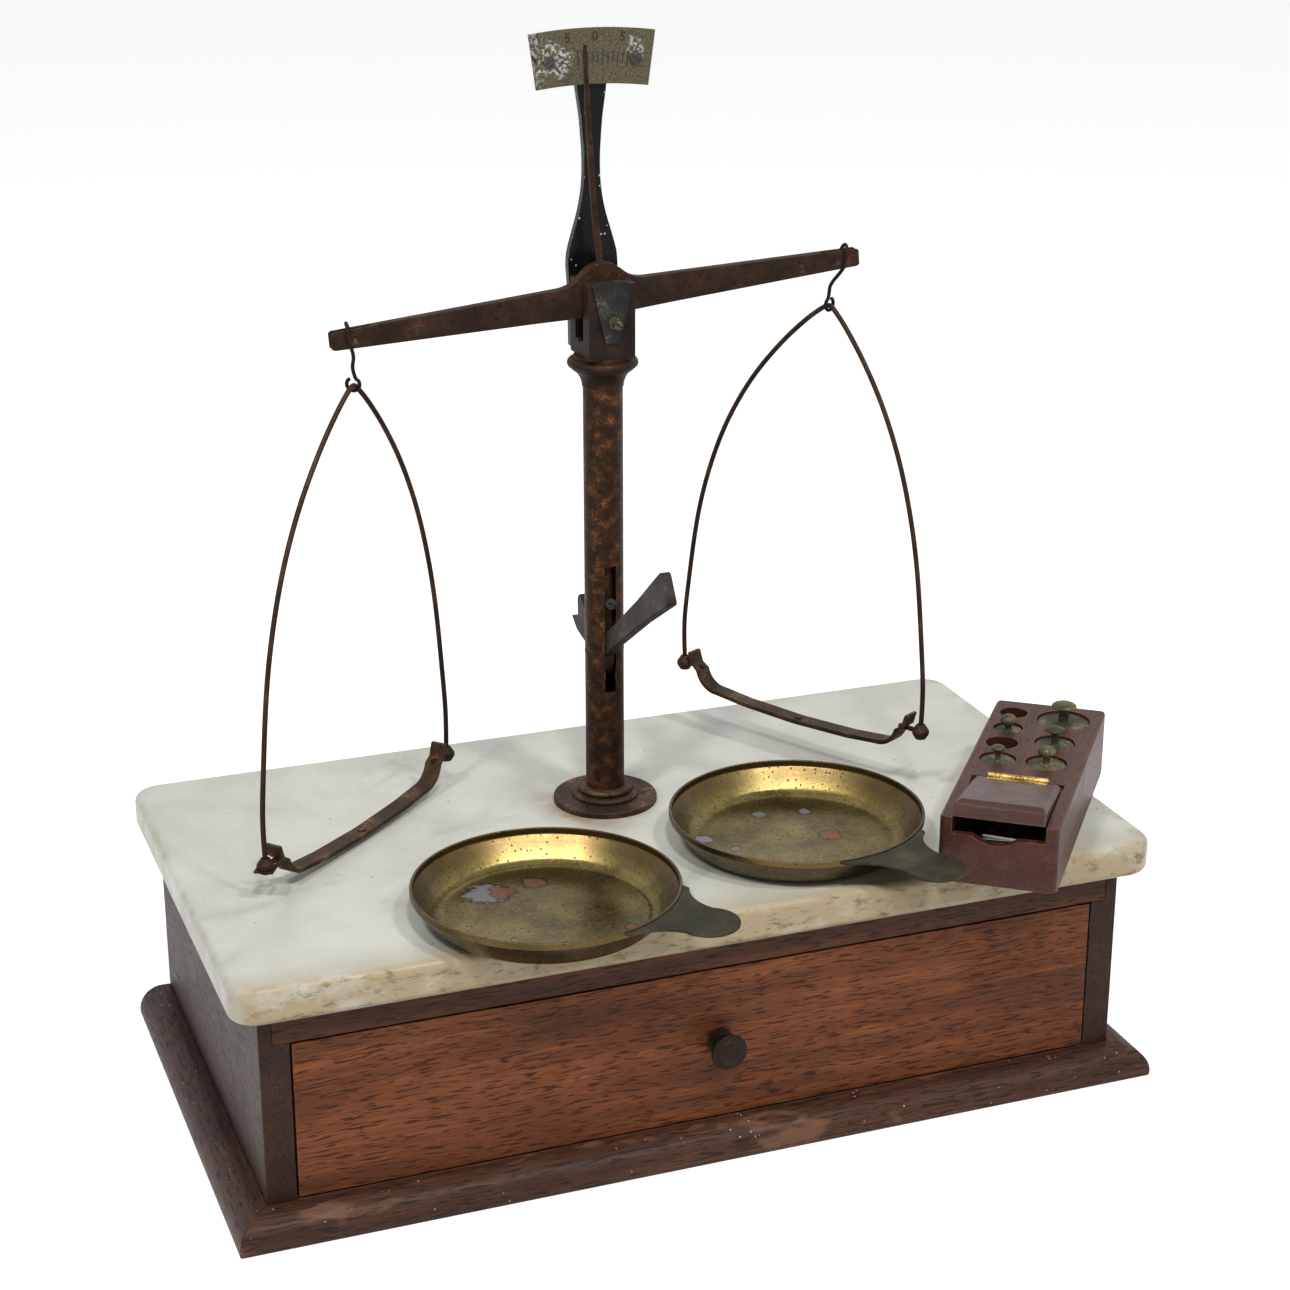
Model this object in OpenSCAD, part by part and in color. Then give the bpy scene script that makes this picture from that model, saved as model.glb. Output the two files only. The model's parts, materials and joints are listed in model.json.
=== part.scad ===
// Pharmacist's column balance on a marble topped drawer case, with a block of brass weights.
// Millimetres, +Z up, +X to the right and -Y towards the user. The origin is on the floor,
// under the middle of the wooden case.

/* [Case] */
// Width of the wooden case over its sides
case_w = 379; // [340:1:420]
// Depth of the wooden case
case_d = 202; // [190:1:230]
// Height of the wooden case, to the underside of the marble
case_h = 95; // [85:1:120]
// Thickness of the side boards, whose front edges show beside the drawer
side_t = 12.4; // [10:0.2:16]
// Thickness of the back board
back_t = 8; // [6:1:12]
// Thickness of the bottom board, which the drawer slides on
floor_t = 12.9; // [10:0.1:16]
// Height of the rail above the drawer
rail_h = 12; // [9:0.5:16]
// Depth of the rail above the drawer, front to back
rail_d = 14; // [10:1:20]
// How far the rail is let into each side board
rail_lap = 6.9; // [3:0.1:8]
// How far the base moulding stands out from the case
plinth_out = 14.5; // [12:0.5:20]
// Height of the base moulding
plinth_h = 13; // [10:0.5:18]

/* [Drawer] */
// Gap round the drawer front
drawer_gap = 0.8; // [0.4:0.1:2]
// Thickness of the drawer front
drawer_front_t = 14; // [10:1:18]
// Thickness of the drawer's sides and back
drawer_board_t = 8; // [6:1:10]
// Height of the drawer's sides
drawer_side_h = 62; // [40:1:66]
// Diameter of the drawer knob
knob_d = 15.8; // [10:0.2:24]

/* [Marble slab] */
// Width of the marble slab
slab_w = 404.6; // [380:0.2:440]
// Depth of the marble slab
slab_d = 215.4; // [205:0.2:240]
// Thickness of the marble slab
slab_t = 16; // [14:1:22]
// Radius of the slab's corners, seen from above
slab_corner_r = 12; // [10:1:25]
// Rounding of the slab's edges
slab_edge_r = 3.6; // [1:0.2:5]

/* [Column] */
// Column axis, left or right of the middle
col_x = -4; // [-10:0.5:10]
// Column axis, behind the middle
col_y = 19; // [10:0.5:30]
// Diameter of the column tube
col_d = 17; // [15:0.5:20]
// Wall of the column tube
col_wall = 1.5; // [1:0.1:2]
// Diameter of the foot flange
flange_d = 46; // [38:0.2:60]
// Height of the column tube's top above the marble
col_h = 190; // [180:1:210]
// Width of the slots for the lever
slot_w = 5.4; // [5:0.1:6]

/* [Head] */
// Width and depth of the square head block
head_w = 20.6; // [20:0.2:26]
// Height of the head block
head_h = 31.9; // [28:0.1:40]
// Width of the channel that the beam lies in
channel_w = 10; // [9.8:0.1:12]
// Thickness of the black arm behind the head
arm_t = 4; // [3:0.5:6]
// Height of the middle of the scale plate above the beam's centre edge
plate_up = 97.9; // [80:0.1:110]

/* [Beam] */
// Distance from the centre edge to each end edge
beam_arm = 107; // [95:1:120]
// Distance from the centre edge to each tip of the beam
beam_half = 117; // [112:1:135]
// Thickness of the beam, front to back
beam_t = 5; // [4:0.2:5]
// How far the beam leans to the left as stored, in degrees
beam_tilt = 4.5; // [0:0.1:6]
// Width of the fork at each end of the beam
fork_gap = 2.5; // [2.4:0.1:2.8]

/* [Stirrups] */
// Distance between the two feet of each wire bow
bow_w = 136; // [126:1:144]
// Height of each bow from its top to its feet
bow_h = 184; // [170:1:190]
// Diameter of the bow wire
bow_wire = 2.3; // [1.8:0.1:2.6]
// Diameter of the hook wire
hook_wire = 1.7; // [1.4:0.1:1.9]
// Width of the strap that carries the pan
strap_w = 7.4; // [6:0.2:12]
// Thickness of the strap
strap_t = 2; // [1.4:0.1:2.6]
// How far the left bow's top is off its middle
left_bow_shift = 7; // [0:0.5:14]
// How far the right bow's top is off its middle
right_bow_shift = 12; // [0:0.5:14]
// Angle of the left bow, seen from above
left_bow_turn = 41; // [20:1:60]
// Angle of the right bow, seen from above
right_bow_turn = -61; // [-70:1:-30]

/* [Pans] */
// Rim diameter of the pans
pan_d = 110; // [90:1:112]
// Depth of the pans
pan_h = 14.6; // [10:0.2:18]
// Sheet thickness of the pans
pan_t = 1.2; // [1:0.1:1.6]
// Length of the left pan's tab beyond its rim
left_tab_len = 31; // [25:1:38]
// Length of the right pan's tab beyond its rim
right_tab_len = 37; // [25:1:38]
// Width of the tab's round end
tab_w = 25; // [18:0.5:28]

/* [Weight block] */
// Width of the weight block
block_w = 50; // [48:0.5:60]
// Length of the weight block
block_l = 138; // [134:1:150]
// Height of the weight block
block_h = 29; // [24:0.5:34]
// How far the lid of the small box stands open, in degrees
lid_open = 9; // [0:1:20]

/* [Hidden] */
$fn = 64;

slab_top = case_h + slab_t;
slab_shift = 2.3;
half_w = case_w / 2;
half_d = case_d / 2;
inner_w = case_w - 2 * side_t;
head_bottom = slab_top + col_h + 13.6;
head_top = head_bottom + head_h;
channel_z = head_bottom + 6.9;
knife_z = head_bottom + 24.1;
head_front = col_y - 12;
head_back = col_y + 11.4;
col_r = col_d / 2;
bore_r = col_r - col_wall;
rod_r = 5.5;
rod_clear = 0.05;
lever_z = slab_top + 71.5;
lever_rest = 34;
lever_t = 4.5;
cam_off = 4.39;
cam_lag = 20;
cam_r = 11;
rod_bottom = lever_z + cam_r - cam_off * sin(cam_lag) + 0.15;
rod_top = head_bottom + 2.7;
guide_z = slab_top + 95;
slot_bottom = slab_top + 53.7;
slot_top = slab_top + 111.7;
shield_t = 1.2;
shield_screw_z = head_bottom + 16.4;
end_knife_up = 0.6;
hook_drop = 20.5;
plate_r = 200;
plate_depth = 22.6;
plate_half_angle = 7.85;
plate_t = 1.5;
plate_z = knife_z + plate_up;
plate_screw_x = 18.8;
block_x = 158.9;
block_y = -70.1;
block_turn = -37.7;
block_top = slab_top + block_h;
lid_axis_y = -22.6;
lid_axis_z = block_top + 1.1;

wood = "#6b3420";
dark_wood = "#4a251a";
pale_wood = "#9a7650";
marble = "#dcddd2";
bronze = "#5a3826";
brass = "#8c7436";
steel = "#6d6f70";
lacquer = "#141416";

// Geometry helpers

// Points along an arc, from angle a0 to a1
function arc(c, r, a0, a1, n = 8) =
  [for (i = [0:n]) c + r * [cos(a0 + (a1 - a0) * i / n), sin(a0 + (a1 - a0) * i / n)]];

// A smooth curve through points, with n steps between each pair
function spline_point(a, b, c, d, t) =
  0.5 * (2 * b + (c - a) * t + (2 * a - 5 * b + 4 * c - d) * t * t
    + (3 * b - a - 3 * c + d) * t * t * t);
function spline(p, n) = concat(
  [for (i = [0:len(p) - 2], k = [0:n - 1])
    spline_point(p[max(i - 1, 0)], p[i], p[i + 1], p[min(i + 2, len(p) - 1)], k / n)],
  [p[len(p) - 1]]);

function unit(v) = v / norm(v);
function tangents(p) =
  [for (i = [0:len(p) - 1]) unit(p[min(i + 1, len(p) - 1)] - p[max(i - 1, 0)])];
function carry(t, first, i = 1, made = []) =
  let (all = len(made) == 0 ? [unit(first - (first * t[0]) * t[0])] : made)
  i >= len(t) ? all
    : carry(t, first, i + 1, concat(all, [unit(all[i - 1] - (all[i - 1] * t[i]) * t[i])]));

// A round wire along a path of points, as one closed solid
module wire(path, d, sides = 12, side_hint = [0, 1, 0]) {
  t = tangents(path);
  n = carry(t, side_hint);
  last = len(path) - 1;
  rings = [for (i = [0:last], k = [0:sides - 1])
    let (a = 360 * k / sides, b = cross(t[i], n[i]))
    path[i] + d / 2 * (cos(a) * n[i] + sin(a) * b)];
  walls = [for (i = [0:last - 1], k = [0:sides - 1])
    let (j = (k + 1) % sides, p = i * sides, q = (i + 1) * sides)
    each [[p + k, q + j, p + j], [p + k, q + k, q + j]]];
  start_cap = [for (k = [1:sides - 2]) [0, k, k + 1]];
  end_cap = [for (k = [1:sides - 2]) [last * sides, last * sides + k + 1, last * sides + k]];
  polyhedron(points = rings, faces = concat(walls, start_cap, end_cap), convexity = 6);
}

module round_rect(w, h, r) {
  union() {
    square([w - 2 * r, h], center = true);
    square([w, h - 2 * r], center = true);
    for (x = [-1, 1], y = [-1, 1])
      translate([x * (w / 2 - r), y * (h / 2 - r)])
        circle(r);
  }
}

// A flat outline drawn in X and Z, thick along Y from y0 to y0 + t
module upright(y0, t) {
  translate([0, y0 + t, 0])
    rotate([90, 0, 0])
      linear_extrude(t)
        children();
}

// A cylinder along Y
module rod_y(r, y0, y1) {
  translate([0, y1, 0])
    rotate([90, 0, 0])
      cylinder(r = r, h = y1 - y0);
}

// A turned slotted screw along +Z, with its head's top at z = 0
module slotted_screw(head_r, head_h, shank_r, shank_len) {
  difference() {
    union() {
      translate([0, 0, -head_h])
        cylinder(r = head_r, h = head_h);
      translate([0, 0, -head_h - shank_len])
        cylinder(r = shank_r, h = shank_len);
    }
    translate([-head_r - 1, -0.4, -head_h * 0.45])
      cube([2 * head_r + 2, 0.8, head_h]);
  }
}

// Case

module side_board() {
  difference() {
    translate([-half_w, -half_d, 0])
      cube([side_t, case_d, case_h]);
    translate([-half_w + side_t - rail_lap, -half_d - 1, case_h - rail_h])
      cube([rail_lap + 1, rail_d + 1, rail_h + 1]);
  }
}

module bottom_board() {
  color(dark_wood)
    translate([-inner_w / 2, -half_d, 0])
      cube([inner_w, case_d - back_t, floor_t]);
}

module left_side() {
  color(wood)
    side_board();
}

module right_side() {
  color(wood)
    mirror([1, 0, 0])
      side_board();
}

module case_back() {
  color(dark_wood)
    translate([-inner_w / 2, half_d - back_t, 0])
      cube([inner_w, back_t, case_h]);
}

module top_board() {
  color(dark_wood)
    difference() {
      translate([-inner_w / 2, -half_d + rail_d, case_h - 8])
        cube([inner_w, case_d - rail_d - back_t, 8]);
      flange_screw_places()
        translate([0, 0, case_h - 9])
          cylinder(r = 2, h = 10);
    }
}

module top_rail() {
  color(wood)
    translate([-inner_w / 2 - rail_lap, -half_d, case_h - rail_h])
      cube([inner_w + 2 * rail_lap, rail_d, rail_h]);
}

// Section of the base moulding, out along +X from the case
module plinth_section() {
  r = plinth_h - 2.4;
  intersection() {
    square([plinth_out, plinth_h]);
    union() {
      square([plinth_out - r, plinth_h]);
      translate([plinth_out - r, plinth_h - r])
        circle(r);
    }
  }
}

module plinth_side() {
  reach = plinth_out + 1;
  difference() {
    translate([half_w, half_d, 0])
      rotate([90, 0, 0])
        linear_extrude(case_d + plinth_out)
          plinth_section();
    translate([half_w, -half_d, -1])
      linear_extrude(plinth_h + 2)
        polygon([[-1, 1], [-1, -reach], [reach, -reach]]);
  }
}

module plinth_front() {
  color(dark_wood)
    intersection() {
      translate([-half_w - plinth_out, -half_d, 0])
        rotate([90, 0, 90])
          linear_extrude(case_w + 2 * plinth_out)
            mirror([1, 0])
              plinth_section();
      linear_extrude(plinth_h + 2)
        polygon([
          [-half_w, -half_d],
          [half_w, -half_d],
          [half_w + plinth_out, -half_d - plinth_out],
          [-half_w - plinth_out, -half_d - plinth_out]
        ]);
    }
}

module plinth_left() {
  color(dark_wood)
    mirror([1, 0, 0])
      plinth_side();
}

module plinth_right() {
  color(dark_wood)
    plinth_side();
}

// Marble slab

module slab_quarter_section(r) {
  translate([0, slab_t / 2])
    intersection() {
      round_rect(2 * r, slab_t, slab_edge_r);
      translate([0, -slab_t])
        square([r + 1, 2 * slab_t]);
    }
}

module marble_slab() {
  inset_x = slab_w / 2 - slab_corner_r;
  inset_y = slab_d / 2 - slab_corner_r;
  color(marble)
    difference() {
      translate([slab_shift, 0, case_h])
        union() {
          translate([-inset_x, 0, slab_t / 2])
            rotate([90, 0, 90])
              linear_extrude(2 * inset_x)
                round_rect(slab_d, slab_t, slab_edge_r);
          translate([0, inset_y, slab_t / 2])
            rotate([90, 0, 0])
              linear_extrude(2 * inset_y)
                round_rect(slab_w, slab_t, slab_edge_r);
          for (x = [-1, 1], y = [-1, 1])
            translate([x * inset_x, y * inset_y, 0])
              rotate_extrude()
                slab_quarter_section(slab_corner_r);
        }
      flange_screw_places()
        translate([0, 0, case_h - 1])
          cylinder(r = 2.1, h = slab_t + 2);
    }
}

// Drawer

drawer_z = floor_t + 0.3;
drawer_w = inner_w - 2 * drawer_gap;
drawer_back_y = half_d - back_t - 4;
groove = 3;
tray_t = 4;
tray_z = drawer_z + 5;

module tray_panel() {
  translate([
    -drawer_w / 2 + drawer_board_t - groove,
    -half_d + drawer_front_t - groove,
    tray_z
  ])
    cube([
      drawer_w - 2 * drawer_board_t + 2 * groove,
      drawer_back_y - drawer_board_t + half_d - drawer_front_t + groove,
      tray_t
    ]);
}

module drawer_front() {
  color(wood)
    difference() {
      translate([-drawer_w / 2, -half_d, drawer_z + 0.7])
        cube([drawer_w, drawer_front_t, case_h - rail_h - drawer_z - 0.7 - drawer_gap]);
      tray_panel();
      translate([knob_x, 0, drawer_knob_z])
        rod_y(2, -half_d - 1, -half_d + drawer_front_t + 1);
    }
}

module drawer_sides() {
  color(pale_wood)
    for (s = [-1, 1])
      difference() {
        translate([
          s * (drawer_w - drawer_board_t) / 2 - drawer_board_t / 2,
          -half_d + drawer_front_t,
          drawer_z
        ])
          cube([
            drawer_board_t,
            drawer_back_y + half_d - drawer_front_t,
            drawer_side_h
          ]);
        tray_panel();
      }
}

module drawer_back() {
  inner = drawer_w - 2 * drawer_board_t;
  color(pale_wood)
    translate([-inner / 2, drawer_back_y - drawer_board_t, drawer_z])
      cube([inner, drawer_board_t, drawer_side_h]);
}

module drawer_bottom() {
  color(pale_wood)
    tray_panel();
}

knob_x = 3.3;
drawer_knob_z = (floor_t + case_h - rail_h) / 2 + 1.2;

module drawer_knob() {
  r = knob_d / 2;
  color(bronze)
    translate([knob_x, -half_d, drawer_knob_z])
      rotate([90, 0, 0])
        union() {
          rotate_extrude()
            union() {
              square([r * 0.72, 1.4]);
              square([r * 0.5, 9]);
              polygon(concat(
                [[0, 6]],
                arc([r - 1.4, 10.6], 1.4, -90, 90, 6),
                arc([0, -6], 20, 75, 90, 6)
              ));
            }
          translate([0, 0, -drawer_front_t + 1])
            cylinder(r = 2, h = drawer_front_t - 1);
        }
}

// Column

module flange_screw_places() {
  for (a = [-14, 106, 226])
    translate([col_x, col_y, 0])
      rotate([0, 0, a])
        translate([flange_d / 2 - 4.4, 0, 0])
          rotate([0, 0, 37])
            children();
}

module column_flange() {
  r = flange_d / 2;
  color(bronze)
    difference() {
      translate([col_x, col_y, slab_top])
        rotate_extrude()
          union() {
            square([r - 0.8, 2.7]);
            square([r, 1.9]);
            translate([r - 0.8, 1.9])
              circle(0.8);
            square([r - 9.4, 4.9]);
            translate([r - 9.4, 3.6])
              circle(1.3);
            square([r - 12, 7.6]);
            translate([r - 12, 6.3])
              circle(1.3);
          }
      translate([col_x, col_y, slab_top + 1])
        cylinder(r = col_r, h = 20);
      flange_screw_places()
        translate([0, 0, slab_top])
          union() {
            translate([0, 0, -1])
              cylinder(r = 2, h = 6);
            translate([0, 0, 1.2])
              cylinder(r = 2.7, h = 3);
          }
    }
}

module flange_screws() {
  color(steel)
    flange_screw_places()
      translate([0, 0, slab_top + 2.7])
        slotted_screw(2.7, 1.5, 2, 22);
}

module column_tube() {
  color(bronze)
    difference() {
      translate([col_x, col_y, slab_top + 1])
        cylinder(r = col_r, h = col_h - 1);
      translate([col_x, col_y, slab_top + 4])
        cylinder(r = bore_r, h = col_h);
      translate([col_x - slot_w / 2, col_y - 15, slot_bottom])
        cube([slot_w, 30, slot_top - slot_bottom]);
      translate([col_x - 15, col_y, lever_z])
        rotate([0, 90, 0])
          cylinder(r = 1.5, h = 30);
    }
}

module column_capital() {
  top = head_bottom - slab_top - col_h;
  color(bronze)
    translate([col_x, col_y, slab_top + col_h])
      difference() {
        rotate_extrude()
          difference() {
            union() {
              polygon(concat(
                [[0, 0], [8.9, 0]],
                spline([[8.9, 0.9], [9.3, 2.6], [10.1, 4.4], [11.3, 6.1], [12.9, 7.4]], 3),
                [[13.3, 7.6], [13.3, 8.4], [0, 8.4]]
              ));
              translate([0, top - 5.6])
                square([12.4, 5.6]);
              translate([13.1, top - 3.4])
                circle(2);
            }
            translate([-20, -20])
              square([20, 60]);
          }
        translate([0, 0, -5])
          cylinder(r = col_r, h = 5);
        translate([0, 0, -1])
          cylinder(r = rod_r + rod_clear, h = 30);
      }
}

module lever_pin() {
  color(steel)
    translate([col_x - col_r - 0.2, col_y, lever_z])
      rotate([0, 90, 0])
        cylinder(r = 1.5, h = col_d + 0.4);
}

// Lever in its own plane: the pin at the origin, the thumb end along +X before it is turned up
module lever_plate() {
  tip = 95;
  difference() {
    union() {
      linear_extrude(lever_t)
        rotate(lever_rest)
          polygon([
            [-3, -5], [18, -4], [60, -5], [tip - 1, -7.2], [tip, -6.2], [tip, 6],
            [tip - 1.2, 7.2], [tip - 3, 7.2], [60, 5.2], [18, 4], [-3, 5]
          ]);
      translate([-cam_off * cos(cam_lag), -cam_off * sin(cam_lag), 0])
        cylinder(r = cam_r, h = lever_t);
      linear_extrude(lever_t)
        polygon(concat(
          [[-2, -6], [-24, -2.5], [-31, -1], [-37.5, 3.5], [-29, 5.5]],
          arc([-25.5, 13], 4, 190, 90, 6),
          [[-19.6, 12.6], [-12, 4], [-2, 3]]
        ));
    }
    translate([0, 0, -1])
      cylinder(r = 1.55, h = lever_t + 2);
  }
}

module arrest_lever() {
  color(bronze)
    translate([col_x + lever_t / 2, col_y, lever_z])
      rotate([90, 0, -90])
        lever_plate();
}

module lift_rod() {
  color(brass)
    difference() {
      translate([col_x, col_y, rod_bottom])
        cylinder(r = rod_r, h = rod_top - rod_bottom);
      translate([col_x, 0, guide_z])
        rod_y(1.5, col_y - 20, col_y);
      translate([col_x, col_y, rod_top - 8])
        cylinder(r = 2, h = 10);
    }
}

module bearing_fork() {
  cheek_top = knife_z + 1.4;
  stem_x = 5.6;
  stem_y = channel_w - 0.6;
  color(steel)
    difference() {
      union() {
        translate([col_x - stem_x / 2, col_y - stem_y / 2, rod_top])
          cube([stem_x, stem_y, cheek_top - rod_top]);
        translate([col_x, col_y, rod_top - 8])
          cylinder(r = 2, h = 9);
      }
      translate([col_x - 10, col_y - beam_t / 2 - 0.3, knife_z - 9.5])
        cube([20, beam_t + 0.6, 30]);
      translate([col_x, 0, knife_z - 0.15])
        upright(col_y - 10, 20)
          polygon([[0, 0], [3.6, 2.08], [-3.6, 2.08]]);
    }
}

module guide_screw() {
  color(steel)
    translate([col_x, col_y - 9.8, guide_z])
      rotate([90, 30, 0])
        slotted_screw(2.3, 2.6, 1.5, 7);
}

// Head

module head_block() {
  color(bronze)
    difference() {
      translate([col_x - head_w / 2, head_front, head_bottom])
        cube([head_w, head_back - head_front, head_h]);
      translate([col_x - head_w, col_y - channel_w / 2, channel_z])
        cube([2 * head_w, channel_w, head_h]);
      translate([col_x - head_w, col_y, channel_z])
        rotate([45, 0, 0])
          translate([0, -1.3, -1.3])
            cube([2 * head_w, 2.6, 2.6]);
      translate([col_x, col_y, head_bottom - 1])
        cylinder(r = rod_r + rod_clear, h = 20);
      translate([col_x, 0, shield_screw_z])
        rod_y(1.5, head_front - 1, head_front + 5);
      arm_screw_places()
        rod_y(1.5, head_back - 5, head_back + 1);
    }
}

module shield_outline() {
  polygon(concat(
    [[-3.3, -8.4], [-2.6, -9.2], [2.6, -9.2], [3.3, -8.4]],
    arc([0, -3], 20.3, 64, 116, 10)
  ));
}

module shield_plate() {
  color(steel)
    translate([col_x, 0, shield_screw_z])
      difference() {
        upright(head_front - 0.05 - shield_t, shield_t)
          shield_outline();
        rod_y(1.6, head_front - 5, head_front + 1);
      }
}

module shield_screw() {
  color(brass)
    translate([col_x, head_front - 8.3, shield_screw_z])
      rotate([90, 35, 0])
        union() {
          slotted_screw(1.9, 3.2, 1.5, 9.5);
          translate([0, 0, -6.7])
            cylinder(r = 2.4, h = 2);
        }
}

module arm_screw_places() {
  for (z = [head_bottom + 8, head_bottom + 24])
    translate([col_x, 0, z])
      children();
}

// Half of the arm's outline, from its foot up
function arm_side() = concat(
  [[10.1, head_bottom + 1.4], [10.4, head_bottom + 26]],
  spline([for (p = [
    [11, 35], [10.6, 41], [8.4, 49], [6, 57], [4.3, 65], [3.5, 73.5], [3.6, 84], [4.6, 97]
  ]) [p[0], head_bottom + p[1]]], 2),
  [[6.6, plate_z - 11], [7.2, plate_z - 8], [22, plate_z - 7], [22, plate_z + 4], [8, plate_z + 7.5]]
);

module index_arm() {
  half = arm_side();
  other = [for (i = [len(half) - 1:-1:0]) [-half[i][0], half[i][1]]];
  color(lacquer)
    difference() {
      translate([col_x, 0, 0])
        upright(head_back, arm_t)
          polygon(concat(half, other));
      arm_screw_places()
        rod_y(1.5, head_back - 1, head_back + arm_t + 1);
      scale_screw_places()
        rod_y(1.2, head_back - 1, head_back + arm_t + 1);
    }
}

module arm_screws() {
  color(steel)
    arm_screw_places()
      translate([0, head_back + arm_t + 2, 0])
        rotate([-90, 20, 0])
          slotted_screw(2.8, 2, 1.5, arm_t + 4);
}

module scale_screw_places() {
  for (s = [-1, 1])
    translate([col_x + s * plate_screw_x, 0, plate_z - 1.9])
      rotate([0, s * 30, 0])
        children();
}

module scale_plate() {
  inner_r = plate_r - plate_depth;
  a = plate_half_angle;
  centre_z = plate_z + plate_depth / 2 - plate_r;
  color(brass)
    difference() {
      translate([col_x, 0, centre_z])
        upright(head_back - plate_t, plate_t)
          intersection() {
            difference() {
              circle(plate_r, $fn = 360);
              circle(inner_r, $fn = 360);
            }
            polygon([[0, 0], 1.2 * plate_r * [sin(a), cos(a)], 1.2 * plate_r * [-sin(a), cos(a)]]);
          }
      scale_screw_places()
        rod_y(1.2, head_back - 5, head_back + 1);
    }
}

module scale_screws() {
  color(steel)
    scale_screw_places()
      translate([0, head_back - plate_t - 1.2, 0])
        rotate([90, 0, 0])
          slotted_screw(2.5, 1.2, 1.2, arm_t + 1);
}

// Beam, drawn level with its centre edge at the origin and then leant to the left

module leant() {
  translate([col_x, col_y, knife_z])
    rotate([0, -beam_tilt, 0])
      children();
}

// Upper edge of the right half of the beam
function beam_top() = concat(
  spline([[0, 15.1], [3, 14.7], [5.6, 13.7], [8.4, 11.6], [11.4, 9], [14.6, 7.2], [18.5, 6.4]], 2),
  [[30, 6.1], [beam_half - 1, 3.8], [beam_half, 3]]
);

module beam_outline() {
  top = beam_top();
  right = concat(top, [[beam_half, -3.2], [beam_half - 1.4, -3.8], [30, -6.2], [10, -7]]);
  left = [for (i = [len(right) - 1:-1:0]) [-right[i][0], right[i][1]]];
  polygon(concat(right, left));
}

// Steel edge with its sharp side at the origin, pointing down
module edge_outline() {
  polygon([[0, 0], [1.9, 3.3], [-1.9, 3.3]]);
}

module beam() {
  color(bronze)
    leant()
      difference() {
        upright(-beam_t / 2, beam_t)
          beam_outline();
        upright(-beam_t, 2 * beam_t)
          edge_outline();
        for (s = [-1, 1]) {
          translate([s * beam_arm, 0, end_knife_up])
            upright(-beam_t, 2 * beam_t)
              mirror([0, 1])
                scale(0.8)
                  edge_outline();
          translate([s * (beam_arm + 6.5) - 13.5, -fork_gap / 2, -10])
            cube([27, fork_gap, 20]);
        }
        translate([0, 0, 8])
          cylinder(r = 0.9, h = 10);
      }
}

module centre_knife() {
  color(steel)
    leant()
      upright(-channel_w / 2 + 0.4, channel_w - 0.8)
        edge_outline();
}

module end_knives() {
  color(steel)
    leant()
      for (s = [-1, 1])
        translate([s * beam_arm, 0, end_knife_up])
          upright(-beam_t / 2, beam_t)
            mirror([0, 1])
              scale(0.8)
                edge_outline();
}

// Needle: a flat strip that bends a little to the right of square, with a pin into the beam
module pointer() {
  line = spline([[0.2, 14.9], [-0.4, 40], [0.2, 75], [1.4, 104]], 6);
  last = len(line) - 1;
  function half_width(i) = 1.35 - 0.35 * i / last - 0.55 * max(0, i / last - 0.72) / 0.28;
  color(bronze)
    leant()
      union() {
        upright(-0.7, 1.4)
          polygon(concat(
            [for (i = [0:last]) line[i] + [half_width(i), 0]],
            [for (i = [last:-1:0]) line[i] - [half_width(i), 0]]
          ));
        translate([0, 0, 11])
          cylinder(r = 0.9, h = 5);
        translate([0, 0, 15.05])
          cylinder(r = 2.1, h = 0.4);
      }
}

// Stirrups

function knife_at(s) = [
  col_x + s * beam_arm * cos(beam_tilt) - end_knife_up * sin(beam_tilt),
  col_y,
  knife_z + s * beam_arm * sin(beam_tilt) + end_knife_up * cos(beam_tilt)
];

left_hang = knife_at(-1);
right_hang = knife_at(1);

// Hook route for the right side: out of the fork, over the front cheek and down to the eye.
// x is outwards, y is to the back and z is up, from the end edge.
function hook_route(eye_x, turn) = let (
  e = [cos(turn), sin(turn), 0],
  c = [eye_x, 0, 0.6 - hook_drop]
) spline(concat(
  [
    [-2.8, 0, -0.9], [-1.5, 0, 0.7], [0.3, 0, 1.25], [1.9, -0.1, 3], [3, -0.7, 5.3],
    [3.5, -2.2, 6], [3.4, -3.6, 4.4], [3.1, -3.8, 1.5], [2.6, -3.8, -2.5],
    [1.2 + eye_x * 0.2, -3, -6], [0.2 + eye_x * 0.6, -1.4, -9.2], [eye_x, -0.2, -12.2],
    c + [0, 0, 5.2] - 0.3 * e
  ],
  [for (a = [115:30.7:423]) c + 2.7 * (cos(a) * e + sin(a) * [0, 0, 1])]
), 3);

module hook(at, s, eye_x, turn) {
  color(lacquer)
    translate(at)
      wire([for (p = hook_route(s * eye_x, s * turn)) [s * p[0], p[1], p[2]]], hook_wire, 10);
}

module left_hook() {
  hook(left_hang, -1, -1, -28);
}

module right_hook() {
  hook(right_hang, 1, -2.5, 29);
}

// One half of a bow, outwards and down from its top
bow_half = [
  [0, 0], [3.2, -1.6], [11.5, -9], [24, -23], [38, -43], [51, -70], [61, -105],
  [66.5, -145], [bow_w / 2 + 0.4, -165], [bow_w / 2, -bow_h + 1.6]
];

// Bow outline, with its top moved off the middle and its feet in place
function bow_line(shift) = let (
  right = [for (p = bow_half) [p[0] * (1 - shift / (bow_w / 2)), p[1]]],
  left = [for (i = [len(bow_half) - 1:-1:1])
    [-bow_half[i][0] * (1 + shift / (bow_w / 2)), bow_half[i][1]]]
) concat(left, right);

module at_bow(at, eye_x, turn) {
  translate(at + [eye_x, 0, -hook_drop])
    rotate([0, 0, turn])
      children();
}

module bow(shift) {
  color(bronze)
    wire(spline([for (p = bow_line(shift)) [p[0], 0, p[1]]], 3), bow_wire, 12);
}

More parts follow.
